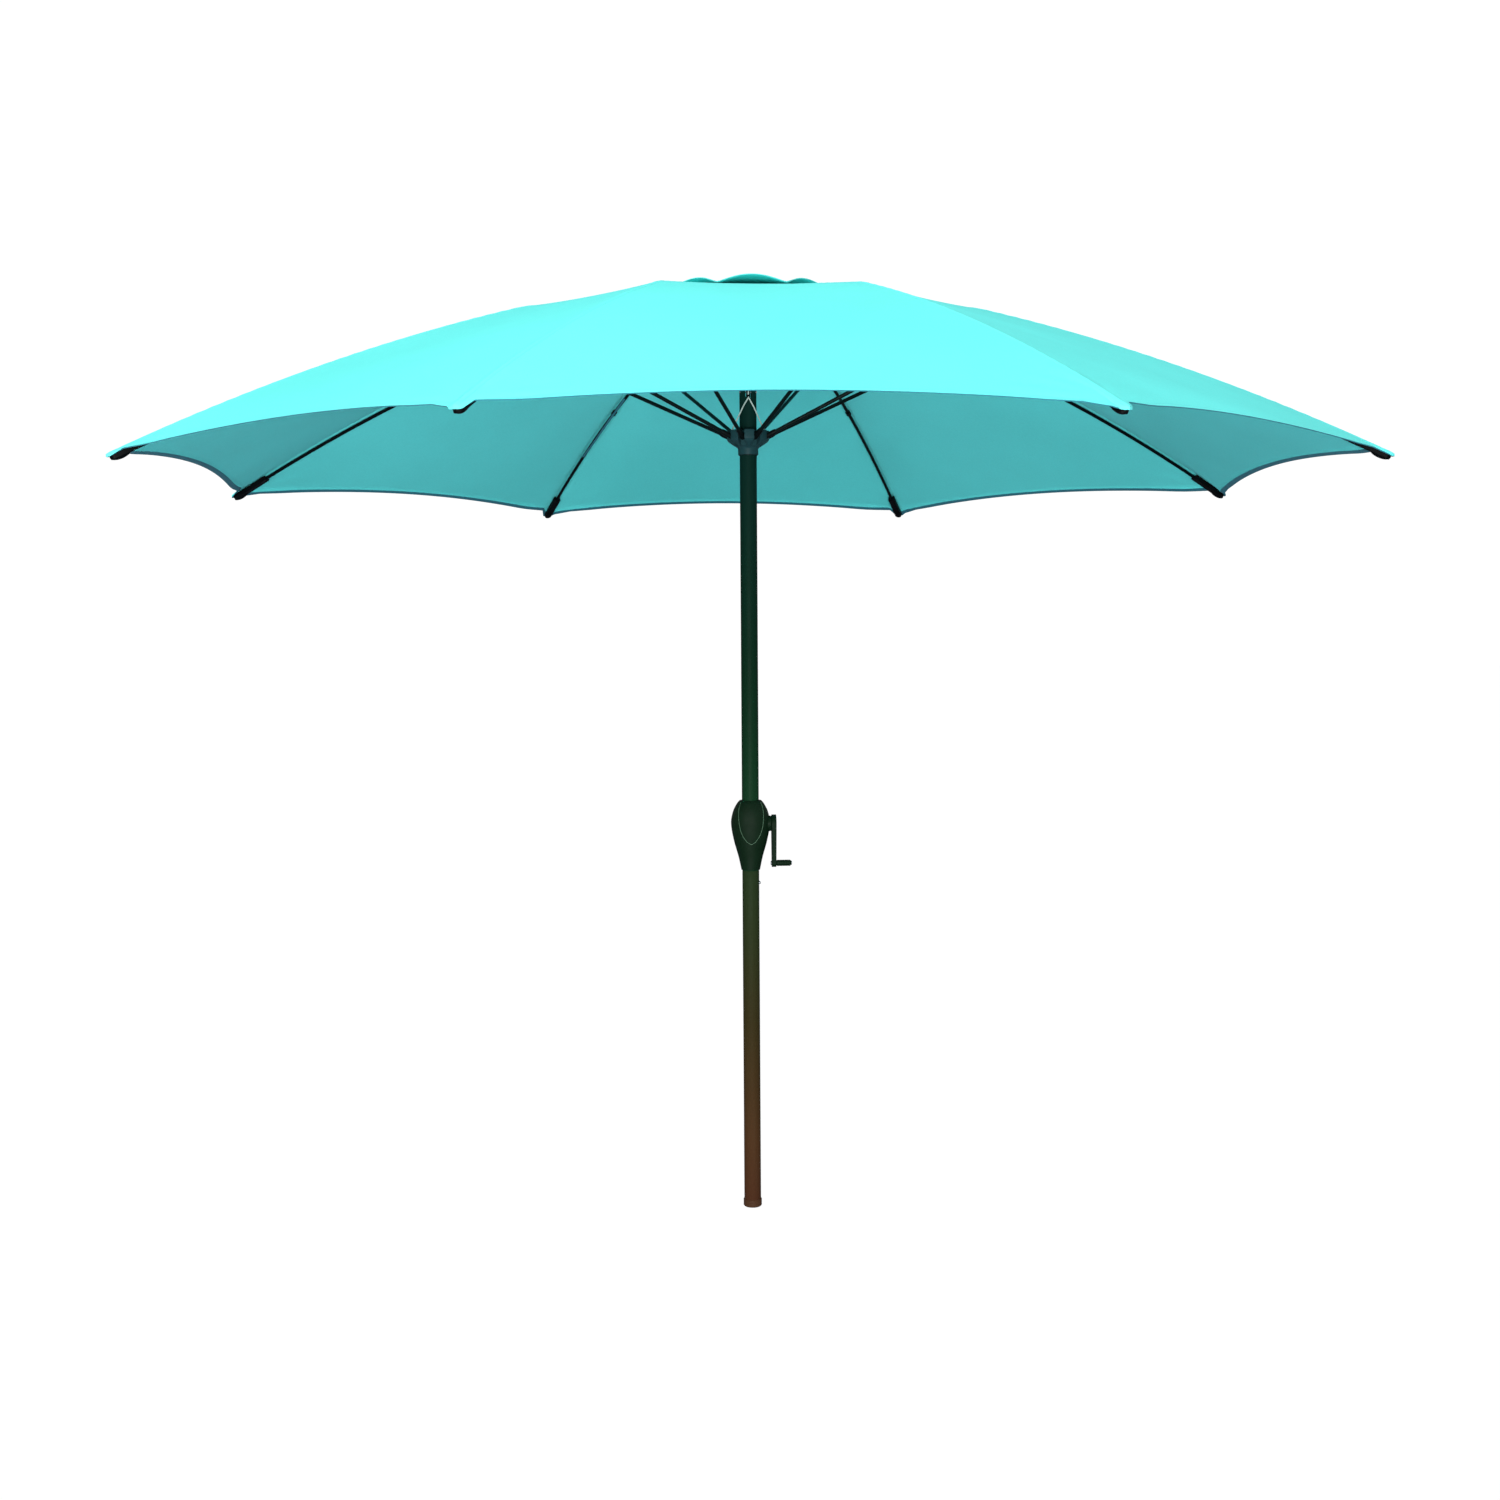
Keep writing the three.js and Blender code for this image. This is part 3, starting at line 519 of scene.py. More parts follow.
def paint_look(name, stops, low, high, roughness=0.38):
    """Powder coat whose colour changes with height: stops are (share of the height, colour)."""
    look = Look(name, Specular_IOR_Level=0.015)
    height = look.node("SeparateXYZ", {0: look.place()}).outputs[2]
    ramp = look.node("ValToRGB", {0: look.spread(height, low, high)})
    elements = ramp.color_ramp.elements
    while len(elements) < len(stops):
        elements.new(0.5)
    for element, (share, color) in zip(elements, stops):
        element.position = share
        element.color = tint(color)
    scratch = look.spread(look.noise(140, 2, (1, 1, 0.03)), 0.62, 0.72)
    look.paint(look.mix(look.math("MULTIPLY", scratch, 0.012), ramp.outputs[0], tint("6f7d6c")))
    look.rough(look.spread(look.noise(25, 4), 0.3, 0.7, roughness - 0.05, roughness + 0.08))
    look.bump((look.noise(420, 2), 0.00005), (scratch, 0.00002))
    return look.material


def metal_look(name, color, roughness):
    """Brushed metal: fine streaks along the turning of the part."""
    look = Look(name, Metallic=1.0)
    streak = look.noise(500, 3, (1, 0.06, 0.06))
    look.paint(look.mix(look.spread(streak, 0.3, 0.7), tint(color), tint("8f9498")))
    look.rough(look.spread(streak, 0.3, 0.7, roughness - 0.07, roughness + 0.1))
    look.bump((streak, 0.00002))
    return look.material


def cord_look(name):
    """Braided polyester cord: two sets of slanting strands."""
    look = Look(name, Roughness=0.8, Sheen_Weight=0.2)
    strands = []
    for slant in (1, -1):
        turned = look.node("Mapping", {"Vector": look.place(), "Rotation": (0, slant * 0.9, 0)})
        inputs = {"Vector": turned.outputs[0], "Scale": 260.0}
        strands.append(look.node("TexWave", inputs, bands_direction="Z").outputs["Fac"])
    braid = look.math("MULTIPLY", *strands)
    look.paint(look.mix(braid, tint("8fa39a"), tint("d5ddd4")))
    look.bump((braid, 0.0002))
    return look.material


cloth = cloth_look("turquoise_cloth", tint("63e6e2"), tint("5cdad6"), 0.10)
# darker copy of the cloth: painted shade for the underside and rim of the cover's hem, and the dark
# colour of the strap beside rib 3
painted_shade_cloth = cloth_look("hem_and_strap_painted_shade", tint("2f7684"), tint("2a6a78"), 0.05)
black = plastic_look("black_plastic", "060c0c", "1f2a28", 0.42)
pocket_black = plastic_look("pocket_plastic", "030405", "14191b", 0.46)
runner_black = plastic_look("runner_plastic", "1b383b", "3a5552", 0.4)
case_green = plastic_look("case_plastic", "071a0c", "2e4a34", 0.5)
case_line = plastic_look("case_line", "4a6650", "5f7a64", 0.4)
rib_black = plastic_look("rib_rod", "030607", "151c1d", 0.34, grain=300)
strut_black = plastic_look("strut_tube", "061110", "1c2c2d", 0.36, grain=300)
upper_paint = paint_look(
    "upper_pole_paint",
    [(0.0, "14351e"), (0.45, "0b2617"), (1.0, "0a2520")],
    JOIN_HEIGHT,
    RUNNER_PIVOT[1],
)
lower_paint = paint_look(
    "lower_pole_paint",
    [(0.0, "3c2316"), (0.2, "3d2817"), (0.55, "2c2613"), (0.8, "242b17"), (1.0, "1f2d19")],
    0.0,
    JOIN_HEIGHT,
)
foot_plastic = plastic_look("foot_plastic", "3d2718", "6b5140", 0.45)
steel = metal_look("zinc_steel", "b4b8ba", 0.35)
dark_steel = metal_look("dark_steel", "4a5253", 0.4)
cord = cord_look("braided_cord")


# ---- cover ----
GORE = {
    "inner": CLOTH_HOLE,
    "outer": CLOTH_EDGE,
    "lift": 0.0,
    "scallop": HEM_SCALLOP,
    "arch": HEM_ARCH,
    "arch_power": 8,
    "hooded": True,
    "rows": 90,
    "columns": 18,
    # underside and rim of the cover's hem: the darker cloth, painted shade of the fold
    "hem_under_look": painted_shade_cloth,
}
FLAP = {
    "inner": CLOTH_HOLE,
    "outer": FLAP_RADIUS,
    "lift": FLAP_LIFT,
    "scallop": FLAP_SCALLOP,
    "arch": FLAP_ARCH,
    "arch_power": 2,
    "hooded": False,
    "rows": 20,
    "columns": 10,
    "hem_under_look": cloth,
}


def gore_shares(plain, columns):
    """Columns of a gore, from -1 to 1 of its half width: close together at the rib."""
    half = plain * math.cos(HALF_GORE) * math.sin(HALF_GORE)
    steps = np.array(SEAM_STEPS)[None, :]
    seam = np.minimum(steps, half * np.linspace(0, 0.6, steps.size)[None, :])
    rest = seam[:, -1:] + (half - seam[:, -1:]) * np.linspace(0, 1, columns)[None, 1:]
    one_side = np.concatenate([seam, rest], axis=1) / half
    return np.concatenate([-one_side[:, :0:-1], one_side], axis=1)


def creases(x, y):
    """Small folds in the cloth: fanning out from the pocket, and puckers along the seam."""
    from_tip = np.hypot(x - (TIP_RADIUS - 0.02), y)
    angle = np.arctan2(np.abs(y), TIP_RADIUS - 0.02 - x)
    fan = np.sin(15 * angle + 0.6) * np.exp(-(((from_tip - 0.09) / 0.05) ** 2))
    pucker = np.sin(2 * math.pi * x / 0.031) * np.exp(-np.abs(y) / 0.016)
    return 0.0015 * fan * np.minimum(1, np.abs(y) / 0.012) + 0.0004 * pucker


def ease(value):
    """A smooth step from 0 to 1."""
    share = np.clip(value, 0, 1)
    return share * share * (3 - 2 * share)


def hood(x, y, past):
    """How the cloth's corner wraps the end pocket: (outwards, downwards) at each point.

    past is the distance from the start of the hem, along the rib.
    """
    away = np.abs(y)
    over = 1 - ease((away - 0.010) / 0.012)
    share = np.clip(past / HEM_STEPS[0], 0, 1)
    turn = 0.6  # share of the hem that lies on top of the pocket
    outwards = over * (np.minimum(1, share / turn) * HOOD_REACH - share * HEM_STEPS[0])
    end = over * HOOD_END * np.clip((share - turn + 0.05) / (1.05 - turn), 0, 1)
    beside = ease((away - 0.0095) / 0.0020) * np.exp(-np.maximum(0, away - 0.0115) / 0.03)
    flank = np.where(y < 0, HOOD_SIDE, 0) * beside * ease((x - TIP_RADIUS + 0.085) / 0.075)
    cut = ease((y - 0.010) / 0.012) * np.exp(-np.maximum(0, y - 0.022) / 0.06)
    return outwards - HOOD_CUT * cut * (x / TIP_RADIUS) ** 14, np.maximum(end, flank)


def cloth_surface(form):
    """The top surface of a gore centred on +X, as rows of points from the centre to the hem."""
    inner, length = form["inner"], form["outer"] - form["inner"]
    body = np.linspace(0, 1 - HEM_STEPS[0] / length, form["rows"])
    share = np.append(body, [1 - step / length for step in HEM_STEPS[1:]])[:, None]
    plain = inner + length * share
    across = gore_shares(plain, form["columns"])
    away = np.abs(across)
    bow = 2 * away - away**2
    radius = plain - form["scallop"] * share**4 * bow
    sine, cosine = math.sin(HALF_GORE), math.cos(HALF_GORE)
    x = radius * (1 - away * sine**2)
    y = across * (radius * cosine * sine - 0.00002)
    down = 0.0
    if form["hooded"]:
        outwards, down = hood(x, y, plain - form["outer"] + HEM_STEPS[0])
        x = x + outwards
        radius = radius + outwards
    seam = np.abs(np.arange(across.shape[1]) - across.shape[1] // 2) <= 1
    arch = form["arch"] * share ** form["arch_power"] * bow
    relief = SEAM_FOLD * seam - PANEL_SAG * bow * np.sin(math.pi * share) + creases(x, y)
    return np.stack([x, y, crown(radius) + form["lift"] + arch + relief - down], axis=2)


def gore_piece(name, k, form):
    """A closed sheet of cloth on rib k, with its hem folded under; the hem's underside and rim take the
    form's hem material, on the cover a darker copy of the cloth that paints the fold's shade.
    """
    top = cloth_surface(form)
    folded = np.zeros(top.shape[:2])
    folded[-len(HEM_STEPS) + 1 :] = HEM_FOLD
    upright = np.cross(np.gradient(top, axis=0), np.gradient(top, axis=1))
    upright /= np.linalg.norm(upright, axis=2)[:, :, None]
    under = top - upright * (CLOTH + folded)[:, :, None]
    rows, columns = top.shape[:2]
    grid = skin(rows, columns, round_columns=False)
    hem_start = (rows - len(HEM_STEPS) + 1) * (columns - 1)
    ring = [i * columns for i in range(rows - 1)]
    ring += [(rows - 1) * columns + j for j in range(columns)]
    ring += [i * columns + columns - 1 for i in range(rows - 2, -1, -1)]
    ring += list(range(columns - 2, 0, -1))
    rim = [(a, b, b + rows * columns, a + rows * columns) for a, b in zip(ring, ring[1:] + ring[:1])]
    outer_rim = rim[rows - 1 : rows + columns - 2]
    inner_rim = rim[: rows - 1] + rim[rows + columns - 2 :]
    both = np.concatenate([top.reshape(-1, 3), under.reshape(-1, 3)])
    below = [tuple(i + rows * columns for i in reversed(face)) for face in grid]
    main = (both, grid + below[:hem_start] + inner_rim)
    # underside and rim of the hem; on the cover this takes the darker cloth, painted shade of the fold
    hem_under_faces = (both, below[hem_start:] + outer_rim)

    def flat_place(points):
        radius = points[:, 0] + np.abs(points[:, 1]) * math.tan(HALF_GORE)
        return np.stack([points[:, 1], radius], axis=1)

    def from_hem(points):
        place = flat_place(points)
        half = place[:, 1] * math.cos(HALF_GORE) * math.sin(HALF_GORE)
        away = np.minimum(1, np.abs(place[:, 0]) / half)
        hem = form["outer"] - form["scallop"] * (2 * away - away**2)
        return np.stack([place[:, 0], hem - place[:, 1]], axis=1)

    uvs = {"weave": flat_place, "hem": from_hem}
    parts = [(main, cloth), (hem_under_faces, form["hem_under_look"])]
    made = new_object(name, parts, sharp=50, uvs=uvs, weld=1e-5)
    made.data.transform(on_rib(k))
    settle(made, f"rib_arm_{k}", "canopy_cloth", f"canopy_gore_{k}")
    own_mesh(made)
    return made


def cover(k):
    gore = gore_piece(f"gore_{k}", k, GORE)
    flap = gore_piece(f"vent_flap_{k}", k, FLAP)


# ---- ribs and struts ----
def rib_line(start, end, steps):
    radius = np.linspace(start, end, steps)
    return np.stack([radius, np.zeros(steps), crown(radius) - RIB_DROP], axis=1)


def turned_on(start, direction, profile, sides=24):
    """A turned solid about a line in the XZ plane: (radius, place along the line) points."""
    return placed(lathe(profile, sides), leaning(start, direction) @ ON_X)


def pin_shape(x, z, half, head=0.0024, shank=0.0015):
    """A rivet across the rib plane, with a domed head at each end."""
    profile = [
        (0.0003, -half - 0.0012), (head * 0.7, -half - 0.001), (head, -half - 0.0002),
        (head, -half), (shank, -half),
    ]
    return placed(lathe(mirrored(profile), 16), Matrix.Translation((x, 0, z)) @ ON_Y)


def rib(k):
    rod = tube(rib_line(HUB_PIVOT_RADIUS + 0.014, TIP_RADIUS - 0.030, 90), RIB_RADIUS, 14)
    outward = crown_tangent(HUB_PIVOT_RADIUS)
    tongue = plate(fillet(stadium(0, 0.019, 0.0042), 0.0005, 1, closed=True), TONGUE)
    ferrule = [
        (RIB_RADIUS, -0.0088), (0.0058, -0.0083), (0.0065, -0.0066), (0.0065, -0.0050),
        (0.0053, -0.0040),
    ]
    middle = rib_axis(FERRULE_PLACE)
    made = new_object(
        f"rib_rod_{k}",
        [
            (rod, rib_black),
            (placed(tongue, leaning(HUB_PIVOT, outward)), black),
            (turned_on(HUB_PIVOT, outward, [(0.0046, 0.0125), (0.0046, 0.024)], 16), black),
            (turned_on(middle, crown_tangent(FERRULE_PLACE), mirrored(ferrule)), rib_black),
        ],
    )
    made.data.transform(on_rib(k))
    settle(made, f"rib_arm_{k}", "rib_rod", f"rib_{k}")


def bracket(k):
    """Saddle round the rib with two cheeks for the strut's tongue."""
    frame_at = leaning(rib_axis(STRUT_JOINT_RADIUS), JOINT_TANGENT)
    saddle = [(-0.011, -0.0056), (0.011, -0.0056), (0.0095, 0.0054), (-0.0095, 0.0054)]
    cheek = [(-0.0115, -0.004), (0.0115, -0.004), (0.0062, -0.0168), (-0.0062, -0.0168)]
    parts = [placed(plate(fillet(saddle, 0.003, closed=True), 0.014), frame_at)]
    for side in (-1, 1):
        shape = plate(fillet(cheek, 0.0035, closed=True), 0.0037, shift=side * 0.0052)
        parts.append(placed(shape, frame_at))
    made = new_object(
        f"strut_bracket_{k}",
        [(part, black) for part in parts] + [(pin_shape(*STRUT_JOINT, 0.007), dark_steel)],
    )
    soften(made, 0.0006)
    made.data.transform(on_rib(k))
    settle(made, f"rib_arm_{k}", "black_plastic", f"rib_bracket_{k}")


def strut(k):
    line = STRUT_JOINT - RUNNER_PIVOT
    length = np.linalg.norm(line)
    outward = line / length
    foot = fillet(
        [(0.0002, -0.0060), (0.0062, -0.0060), (0.0062, 0.024), (0.0050, 0.030), (0.0040, 0.0302)],
        0.004,
    )
    shaft = [(STRUT_RADIUS, 0.020), (STRUT_RADIUS, length - 0.020), (0.0030, length - 0.013)]
    crimp = [(0.0040, length - 0.034), (0.0049, length - 0.033), (0.0049, length - 0.022)]
    crimp += [(0.0034, length - 0.018)]
    tongue = plate(stadium(length - 0.020, length, 0.0045), TONGUE)
    made = new_object(
        f"strut_tube_{k}",
        [
            (turned_on(RUNNER_PIVOT, outward, shaft), strut_black),
            (turned_on(RUNNER_PIVOT, outward, foot), black),
            (turned_on(RUNNER_PIVOT, outward, crimp), black),
            (placed(tongue, leaning(RUNNER_PIVOT, outward)), black),
        ],
    )
    made.data.transform(on_rib(k))
    settle(made, f"strut_arm_{k}", "strut_tube", f"strut_{k}")


def pocket(k):
    """End pocket: a rounded outer cap, two raised lines and a forked inner end."""
    half = POCKET_WIDTH / 2
    turn = np.linspace(-math.pi / 2, math.pi / 2, 13)
    cap = np.stack([np.cos(turn), np.sin(turn)], axis=1) * half - [half, 0]
    inner = [
        (-POCKET_LENGTH, half),
        (-POCKET_LENGTH - 0.007, half - 0.003),
        (-POCKET_LENGTH + 0.007, 0),
        (-POCKET_LENGTH - 0.007, 0.003 - half),
        (-POCKET_LENGTH, -half),
    ]
    outline = np.concatenate([cap, fillet(inner, 0.002, 2)])
    middle = TIP_RADIUS - POCKET_LENGTH / 2
    along = crown_tangent(middle)
    tip = rib_axis(middle) + along * POCKET_LENGTH / 2
    body = slab(outline, -POCKET_THICK / 2, POCKET_THICK / 2)
    here = leaning(tip, along)
    parts = [(placed(body, here), pocket_black)]
    for side in (-1, 1):
        line = stadium(-0.085, -0.022, 0.0011) + [0, side * 0.0045]
        ridge = slab(line, -POCKET_THICK / 2 - 0.0005, 0.0)
        parts.append((placed(ridge, here), pocket_black))
    turn = np.linspace(0.02, math.pi - 0.02, 17)
    bulb = lathe(np.stack([0.0088 * np.sin(turn), -0.0220 * np.cos(turn)], axis=1), 24)
    bulb = placed(bulb, Matrix.Diagonal((1, 1, 1.08, 1)) @ ON_X)
    parts.append((placed(bulb, here @ Matrix.Translation((-0.0210, 0, -0.0010))), pocket_black))
    made = new_object(f"end_pocket_{k}", parts)
    soften(made, 0.0012, 3)
    made.data.transform(on_rib(k))
    settle(made, f"rib_arm_{k}", "black_plastic", f"tip_pocket_{k}")


# ---- hubs ----
def hub_slots(width, core, reach, bottom, top):
    """Slots round a hub on the rib azimuths, from a core radius outwards."""
    return all_round(box_shape((core, -width / 2, bottom), (reach, width / 2, top)))


def top_hub():
    low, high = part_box("top_hub")
    outer = high.x
    profile = [
        (POLE_RADIUS + GAP, low.z), (POLE_RADIUS + 0.004, low.z),
        (POLE_RADIUS + 0.004, HUB_PIVOT[1] - 0.012), (0.030, HUB_PIVOT[1] - 0.008),
        (outer, HUB_PIVOT[1] - 0.006), (outer, HUB_PIVOT[1] + 0.0045),
        (0.020, HUB_PIVOT[1] + 0.008), (0.020, high.z), (0.0005, high.z),
        (0.0005, POLE_TOP + GAP), (POLE_RADIUS + GAP, POLE_TOP + GAP),
    ]
    body = lathe(fillet(profile, 0.0015, 3, True), 96, closed=True)
    made = new_object("rib_hub", [(body, black)])
    carve(made, hub_slots(0.0064, 0.032, 0.060, low.z - 0.01, HUB_PIVOT[1] + 0.02))
    settle(made, "pole", "black_plastic", "top_hub")
    pins = all_round(pin_shape(*HUB_PIVOT, 0.0044, 0.0015))
    settle(new_object("rib_hub_pins", [(pin, dark_steel) for pin in pins]), "pole", "steel")


def top_cap():
    low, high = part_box("top_cap")
    outer = high.x
    profile = [
        (0.0003, low.z), (outer, low.z), (outer - 0.0006, low.z + 0.0018),
        (0.020, high.z - 0.0022), (0.017, high.z - 0.0016), (0.0165, high.z - 0.0019),
        (0.010, high.z - 0.0005), (0.0003, high.z),
    ]
    shape = lathe(fillet(profile, 0.0012, 3), 72)
    single("crown_cap", shape, black, "pole", "black_plastic", "top_cap")


def runner():
    low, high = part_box("runner")
    outer = high.x
    flange = RUNNER_PIVOT[1] - 0.007
    bore = POLE_RADIUS + 0.0005
    profile = [
        (bore, low.z), (0.0225, low.z), (0.0225, low.z + 0.0135),
        (0.0245, low.z + 0.016), (outer - 0.004, flange - 0.003),
        (outer, flange + 0.002), (outer, high.z), (bore, high.z),
    ]
    body = lathe(fillet(profile, 0.0016, 3, True), 96, closed=True)
    made = new_object("slide_hub", [(body, runner_black)])
    eye = lathe([(0.0021, 1.690), (0.0021, 1.770)], 16)
    eyes = [placed(eye, Matrix.Translation((side * EYE_RADIUS, 0, 0))) for side in (-1, 1)]
    carve(made, hub_slots(RUNNER_SLOT, RUNNER_CORE, 0.060, 1.690, 1.760) + eyes)
    soften(made, 0.0005)
    settle(made, "runner", "black_plastic", "runner")
    pins = all_round(pin_shape(*RUNNER_PIVOT, 0.0074, 0.0018))
    wear = [(bore, low.z - 0.0012), (0.0212, low.z - 0.0012)]
    wear += [(0.0212, low.z + 0.001), (bore, low.z + 0.001)]
    wear = lathe(fillet(wear, 0.0004, 2, True), 64, closed=True)
    made = new_object("slide_hub_pins", [(pin, dark_steel) for pin in pins] + [(wear, black)])
    settle(made, "runner", "steel")


# ---- pole ----
def cross_hole(radius, height, forward=0.0):
    """A cutter across the pole along X."""
    return along_x(lathe([(radius, -0.03), (radius, 0.03)], 24), height, forward)


def button_hole():
    return along_x(lathe([(0.0038, 0.005), (0.0038, 0.03)], 32), BUTTON_HEIGHT)


def lower_pole():
    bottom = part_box("lower_pole")[0].z
    rings = [(POLE_RADIUS - 0.0003, bottom), (POLE_RADIUS, bottom + 0.0004)]
    rings += [(POLE_RADIUS, z) for z in np.linspace(0.02, JOIN_HEIGHT - 0.0008, 30)]
    rings += [(POLE_RADIUS - 0.0005, JOIN_HEIGHT), (POLE_BORE, JOIN_HEIGHT), (POLE_BORE, bottom)]
    made = new_object("pole_lower", [(lathe(rings, 72, closed=True), lower_paint)])
    carve(made, [button_hole()])
    settle(made, "pole", "lower_pole_paint", "lower_pole")


def upper_pole():
    seam = JOIN_HEIGHT + GAP
    rings = [
        (PLUG_BORE, PLUG_BOTTOM),
        (PLUG_RADIUS - 0.0008, PLUG_BOTTOM),
        (PLUG_RADIUS, PLUG_BOTTOM + 0.002),
        (PLUG_RADIUS, seam),
        (POLE_RADIUS - 0.0005, seam),
        (POLE_RADIUS, seam + 0.0008),
    ]
    rings += [(POLE_RADIUS, z) for z in np.linspace(0.79, POLE_TOP - 0.001, 50)]
    rings += [(POLE_RADIUS - 0.0004, POLE_TOP), (POLE_BORE, POLE_TOP)]
    rings += [(POLE_BORE, seam + 0.006), (PLUG_BORE, seam)]
    made = new_object("pole_upper", [(lathe(rings, 72, closed=True), upper_paint)])
    half = SLOT_WIDTH / 2
    slot = plate(stadium(SLOT_HEIGHTS[0] + half, SLOT_HEIGHTS[1] - half, half), 0.06)
    upright = Matrix.Rotation(-math.pi / 2, 4, "Y")
    holes = [placed(slot, upright), cross_hole(0.0057, CRANK_HEIGHT)]
    holes += [cross_hole(0.0024, PULLEY_HEIGHT, 0.006), button_hole()]
    carve(made, holes)
    settle(made, "pole", "pole_paint", "upper_pole")


def pole_foot():
    low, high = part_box("pole_foot")
    outer = high.x
    bore = POLE_RADIUS + GAP
    profile = [(0.0003, low.z), (outer - 0.0025, low.z), (outer, low.z + 0.0025)]
    for groove in (0.006, 0.0095, 0.013):
        profile += [(outer, groove - 0.0009), (outer - 0.0006, groove), (outer, groove + 0.0009)]
    profile += [(outer, high.z - 0.001), (outer - 0.0007, high.z), (bore, high.z)]
    profile += [(bore, 0.0023), (0.0003, 0.0023)]
    shape = lathe(fillet(profile, 0.0008, 2, True), 72, closed=True)
    single("foot_cap", shape, foot_plastic, "pole", "black_plastic", "pole_foot")


def snap_button():
    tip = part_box("snap_button")[1].x
    profile = [(0.0034, 0.008), (0.0034, 0.0122), (0.0055, 0.0122), (0.0055, 0.014)]
    profile += [(0.0034, 0.014), (0.0034, 0.0205), (0.0029, tip - 0.0006), (0.0018, tip - 0.0001)]
    profile += [(0.0002, tip)]
    shape = along_x(lathe(fillet(profile, 0.0005, 3), 32), BUTTON_HEIGHT)
    single("pole_button", shape, steel, "button", "steel", "snap_button")


# ---- crank ----
CASE_OUTLINE = [
    (0.0210, 0.773), (0.0275, 0.803), (0.0363, 0.834), (0.0422, 0.862),
    (0.0437, 0.884), (0.0390, 0.906), (0.0310, 0.922), (0.0245, 0.930),
]


def smooth_line(points, steps):
    """A curve through 2-D points (Catmull-Rom)."""
    points = np.array([points[0], *points, points[-1]], float)
    line = []
    for a, b, c, d in zip(points, points[1:], points[2:], points[3:]):
        for t in np.linspace(0, 1, steps, endpoint=False):
            line.append(
                0.5 * (2 * b + (c - a) * t + (2 * a - 5 * b + 4 * c - d) * t**2)
                + 0.5 * (3 * b - a - 3 * c + d) * t**3
            )
    line.append(points[-1])
    return np.array(line)


def case_depth(width):
    """Front to back half size of the case where it has this half width."""
    return np.where(width > CASE_NECK, CASE_NECK + (width - CASE_NECK) * CASE_DEPTH, width)


def case_half(name, side, node):
    """One half of the crank case: a 3 mm shell, closed at the top and bottom round the pole."""
    outer = smooth_line(CASE_OUTLINE, 10)
    inner = outer[4:-4] - [CASE_WALL, 0]
    bore = POLE_RADIUS + GAP
    rim_low, rim_high = CASE_BOTTOM, CASE_TOP
    loop = [(bore, rim_low), *outer, (bore, rim_high), (bore, rim_high - CASE_WALL)]
    loop += [tuple(p) for p in inner[::-1]] + [(bore, rim_low + CASE_WALL)]
    loop = np.maximum(np.array(loop), [bore, 0])
    steps = 65
    turn = np.linspace(0.003, math.pi - 0.003, steps) * side
    width = loop[:, 0]
    points = np.empty((steps, len(loop), 3))
    points[:, :, 0] = np.cos(turn)[:, None] * width
    points[:, :, 1] = np.sin(turn)[:, None] * case_depth(width)
    points[:, :, 2] = loop[:, 1]
    last = (steps - 1) * len(loop)
    ends = [tuple(range(len(loop))), tuple(range(last, last + len(loop)))]
    faces = skin(steps, len(loop)) + ends
    made = new_object(name, [((points.reshape(-1, 3), faces), case_green)], sharp=40)
    carve(made, [along_x(lathe([(0.0055, 0.03), (0.0055, 0.06)], 32), CRANK_HEIGHT)], sharp=40)
    settle(made, "pole", "case_plastic", node)


CASE_LINE = [
    (0.0000, 0.8325), (0.0095, 0.8385), (0.0185, 0.8510), (0.0250, 0.8690),
    (0.0277, 0.8920), (0.0268, 0.9120), (0.0225, 0.9262),
]


def case_front_line():
    """Thin raised line on the front of the case, like a U that ends at the top rim."""
    right = smooth_line(CASE_LINE, 10)
    x = np.concatenate([-right[:0:-1, 0], right[:, 0]])
    z = np.concatenate([right[:0:-1, 1], right[:, 1]])
    outline = smooth_line(CASE_OUTLINE, 10)
    width = np.interp(z, outline[:, 1], outline[:, 0])
    y = -case_depth(width) * np.sqrt(np.maximum(0, 1 - (x / width) ** 2))
    shape = tube(np.stack([x, y, z], axis=1), 0.0006, 8)
    single("case_line", shape, case_line, "pole", "case_plastic")


def case_screw(name, side, node):
    """Pan head screw with a cross recess, sunk in the back of the case."""
    low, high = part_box(node)
    head = high.y - 0.0025
    profile = [(0.0019, -0.014), (0.0019, head), (0.0042, head), (0.0042, high.y - 0.0008)]
    profile += [(0.0030, high.y - 0.0001), (0.0003, high.y)]
    place = Matrix.Translation((side * 0.030, 0, (low.z + high.z) / 2))
    made = new_object(name, [(placed(lathe(fillet(profile, 0.0006, 3), 32), place @ ON_Y), steel)])
    cross = [box_shape((-0.0022, -0.0004, 0), (0.0022, 0.0004, 0.004))]
    cross.append(box_shape((-0.0004, -0.0022, 0), (0.0004, 0.0022, 0.004)))
    recess = Matrix.Translation((0, high.y - 0.0014, 0)) @ ON_Y
    carve(made, [placed(c, place @ recess) for c in cross])
    settle(made, "pole", "steel", node)


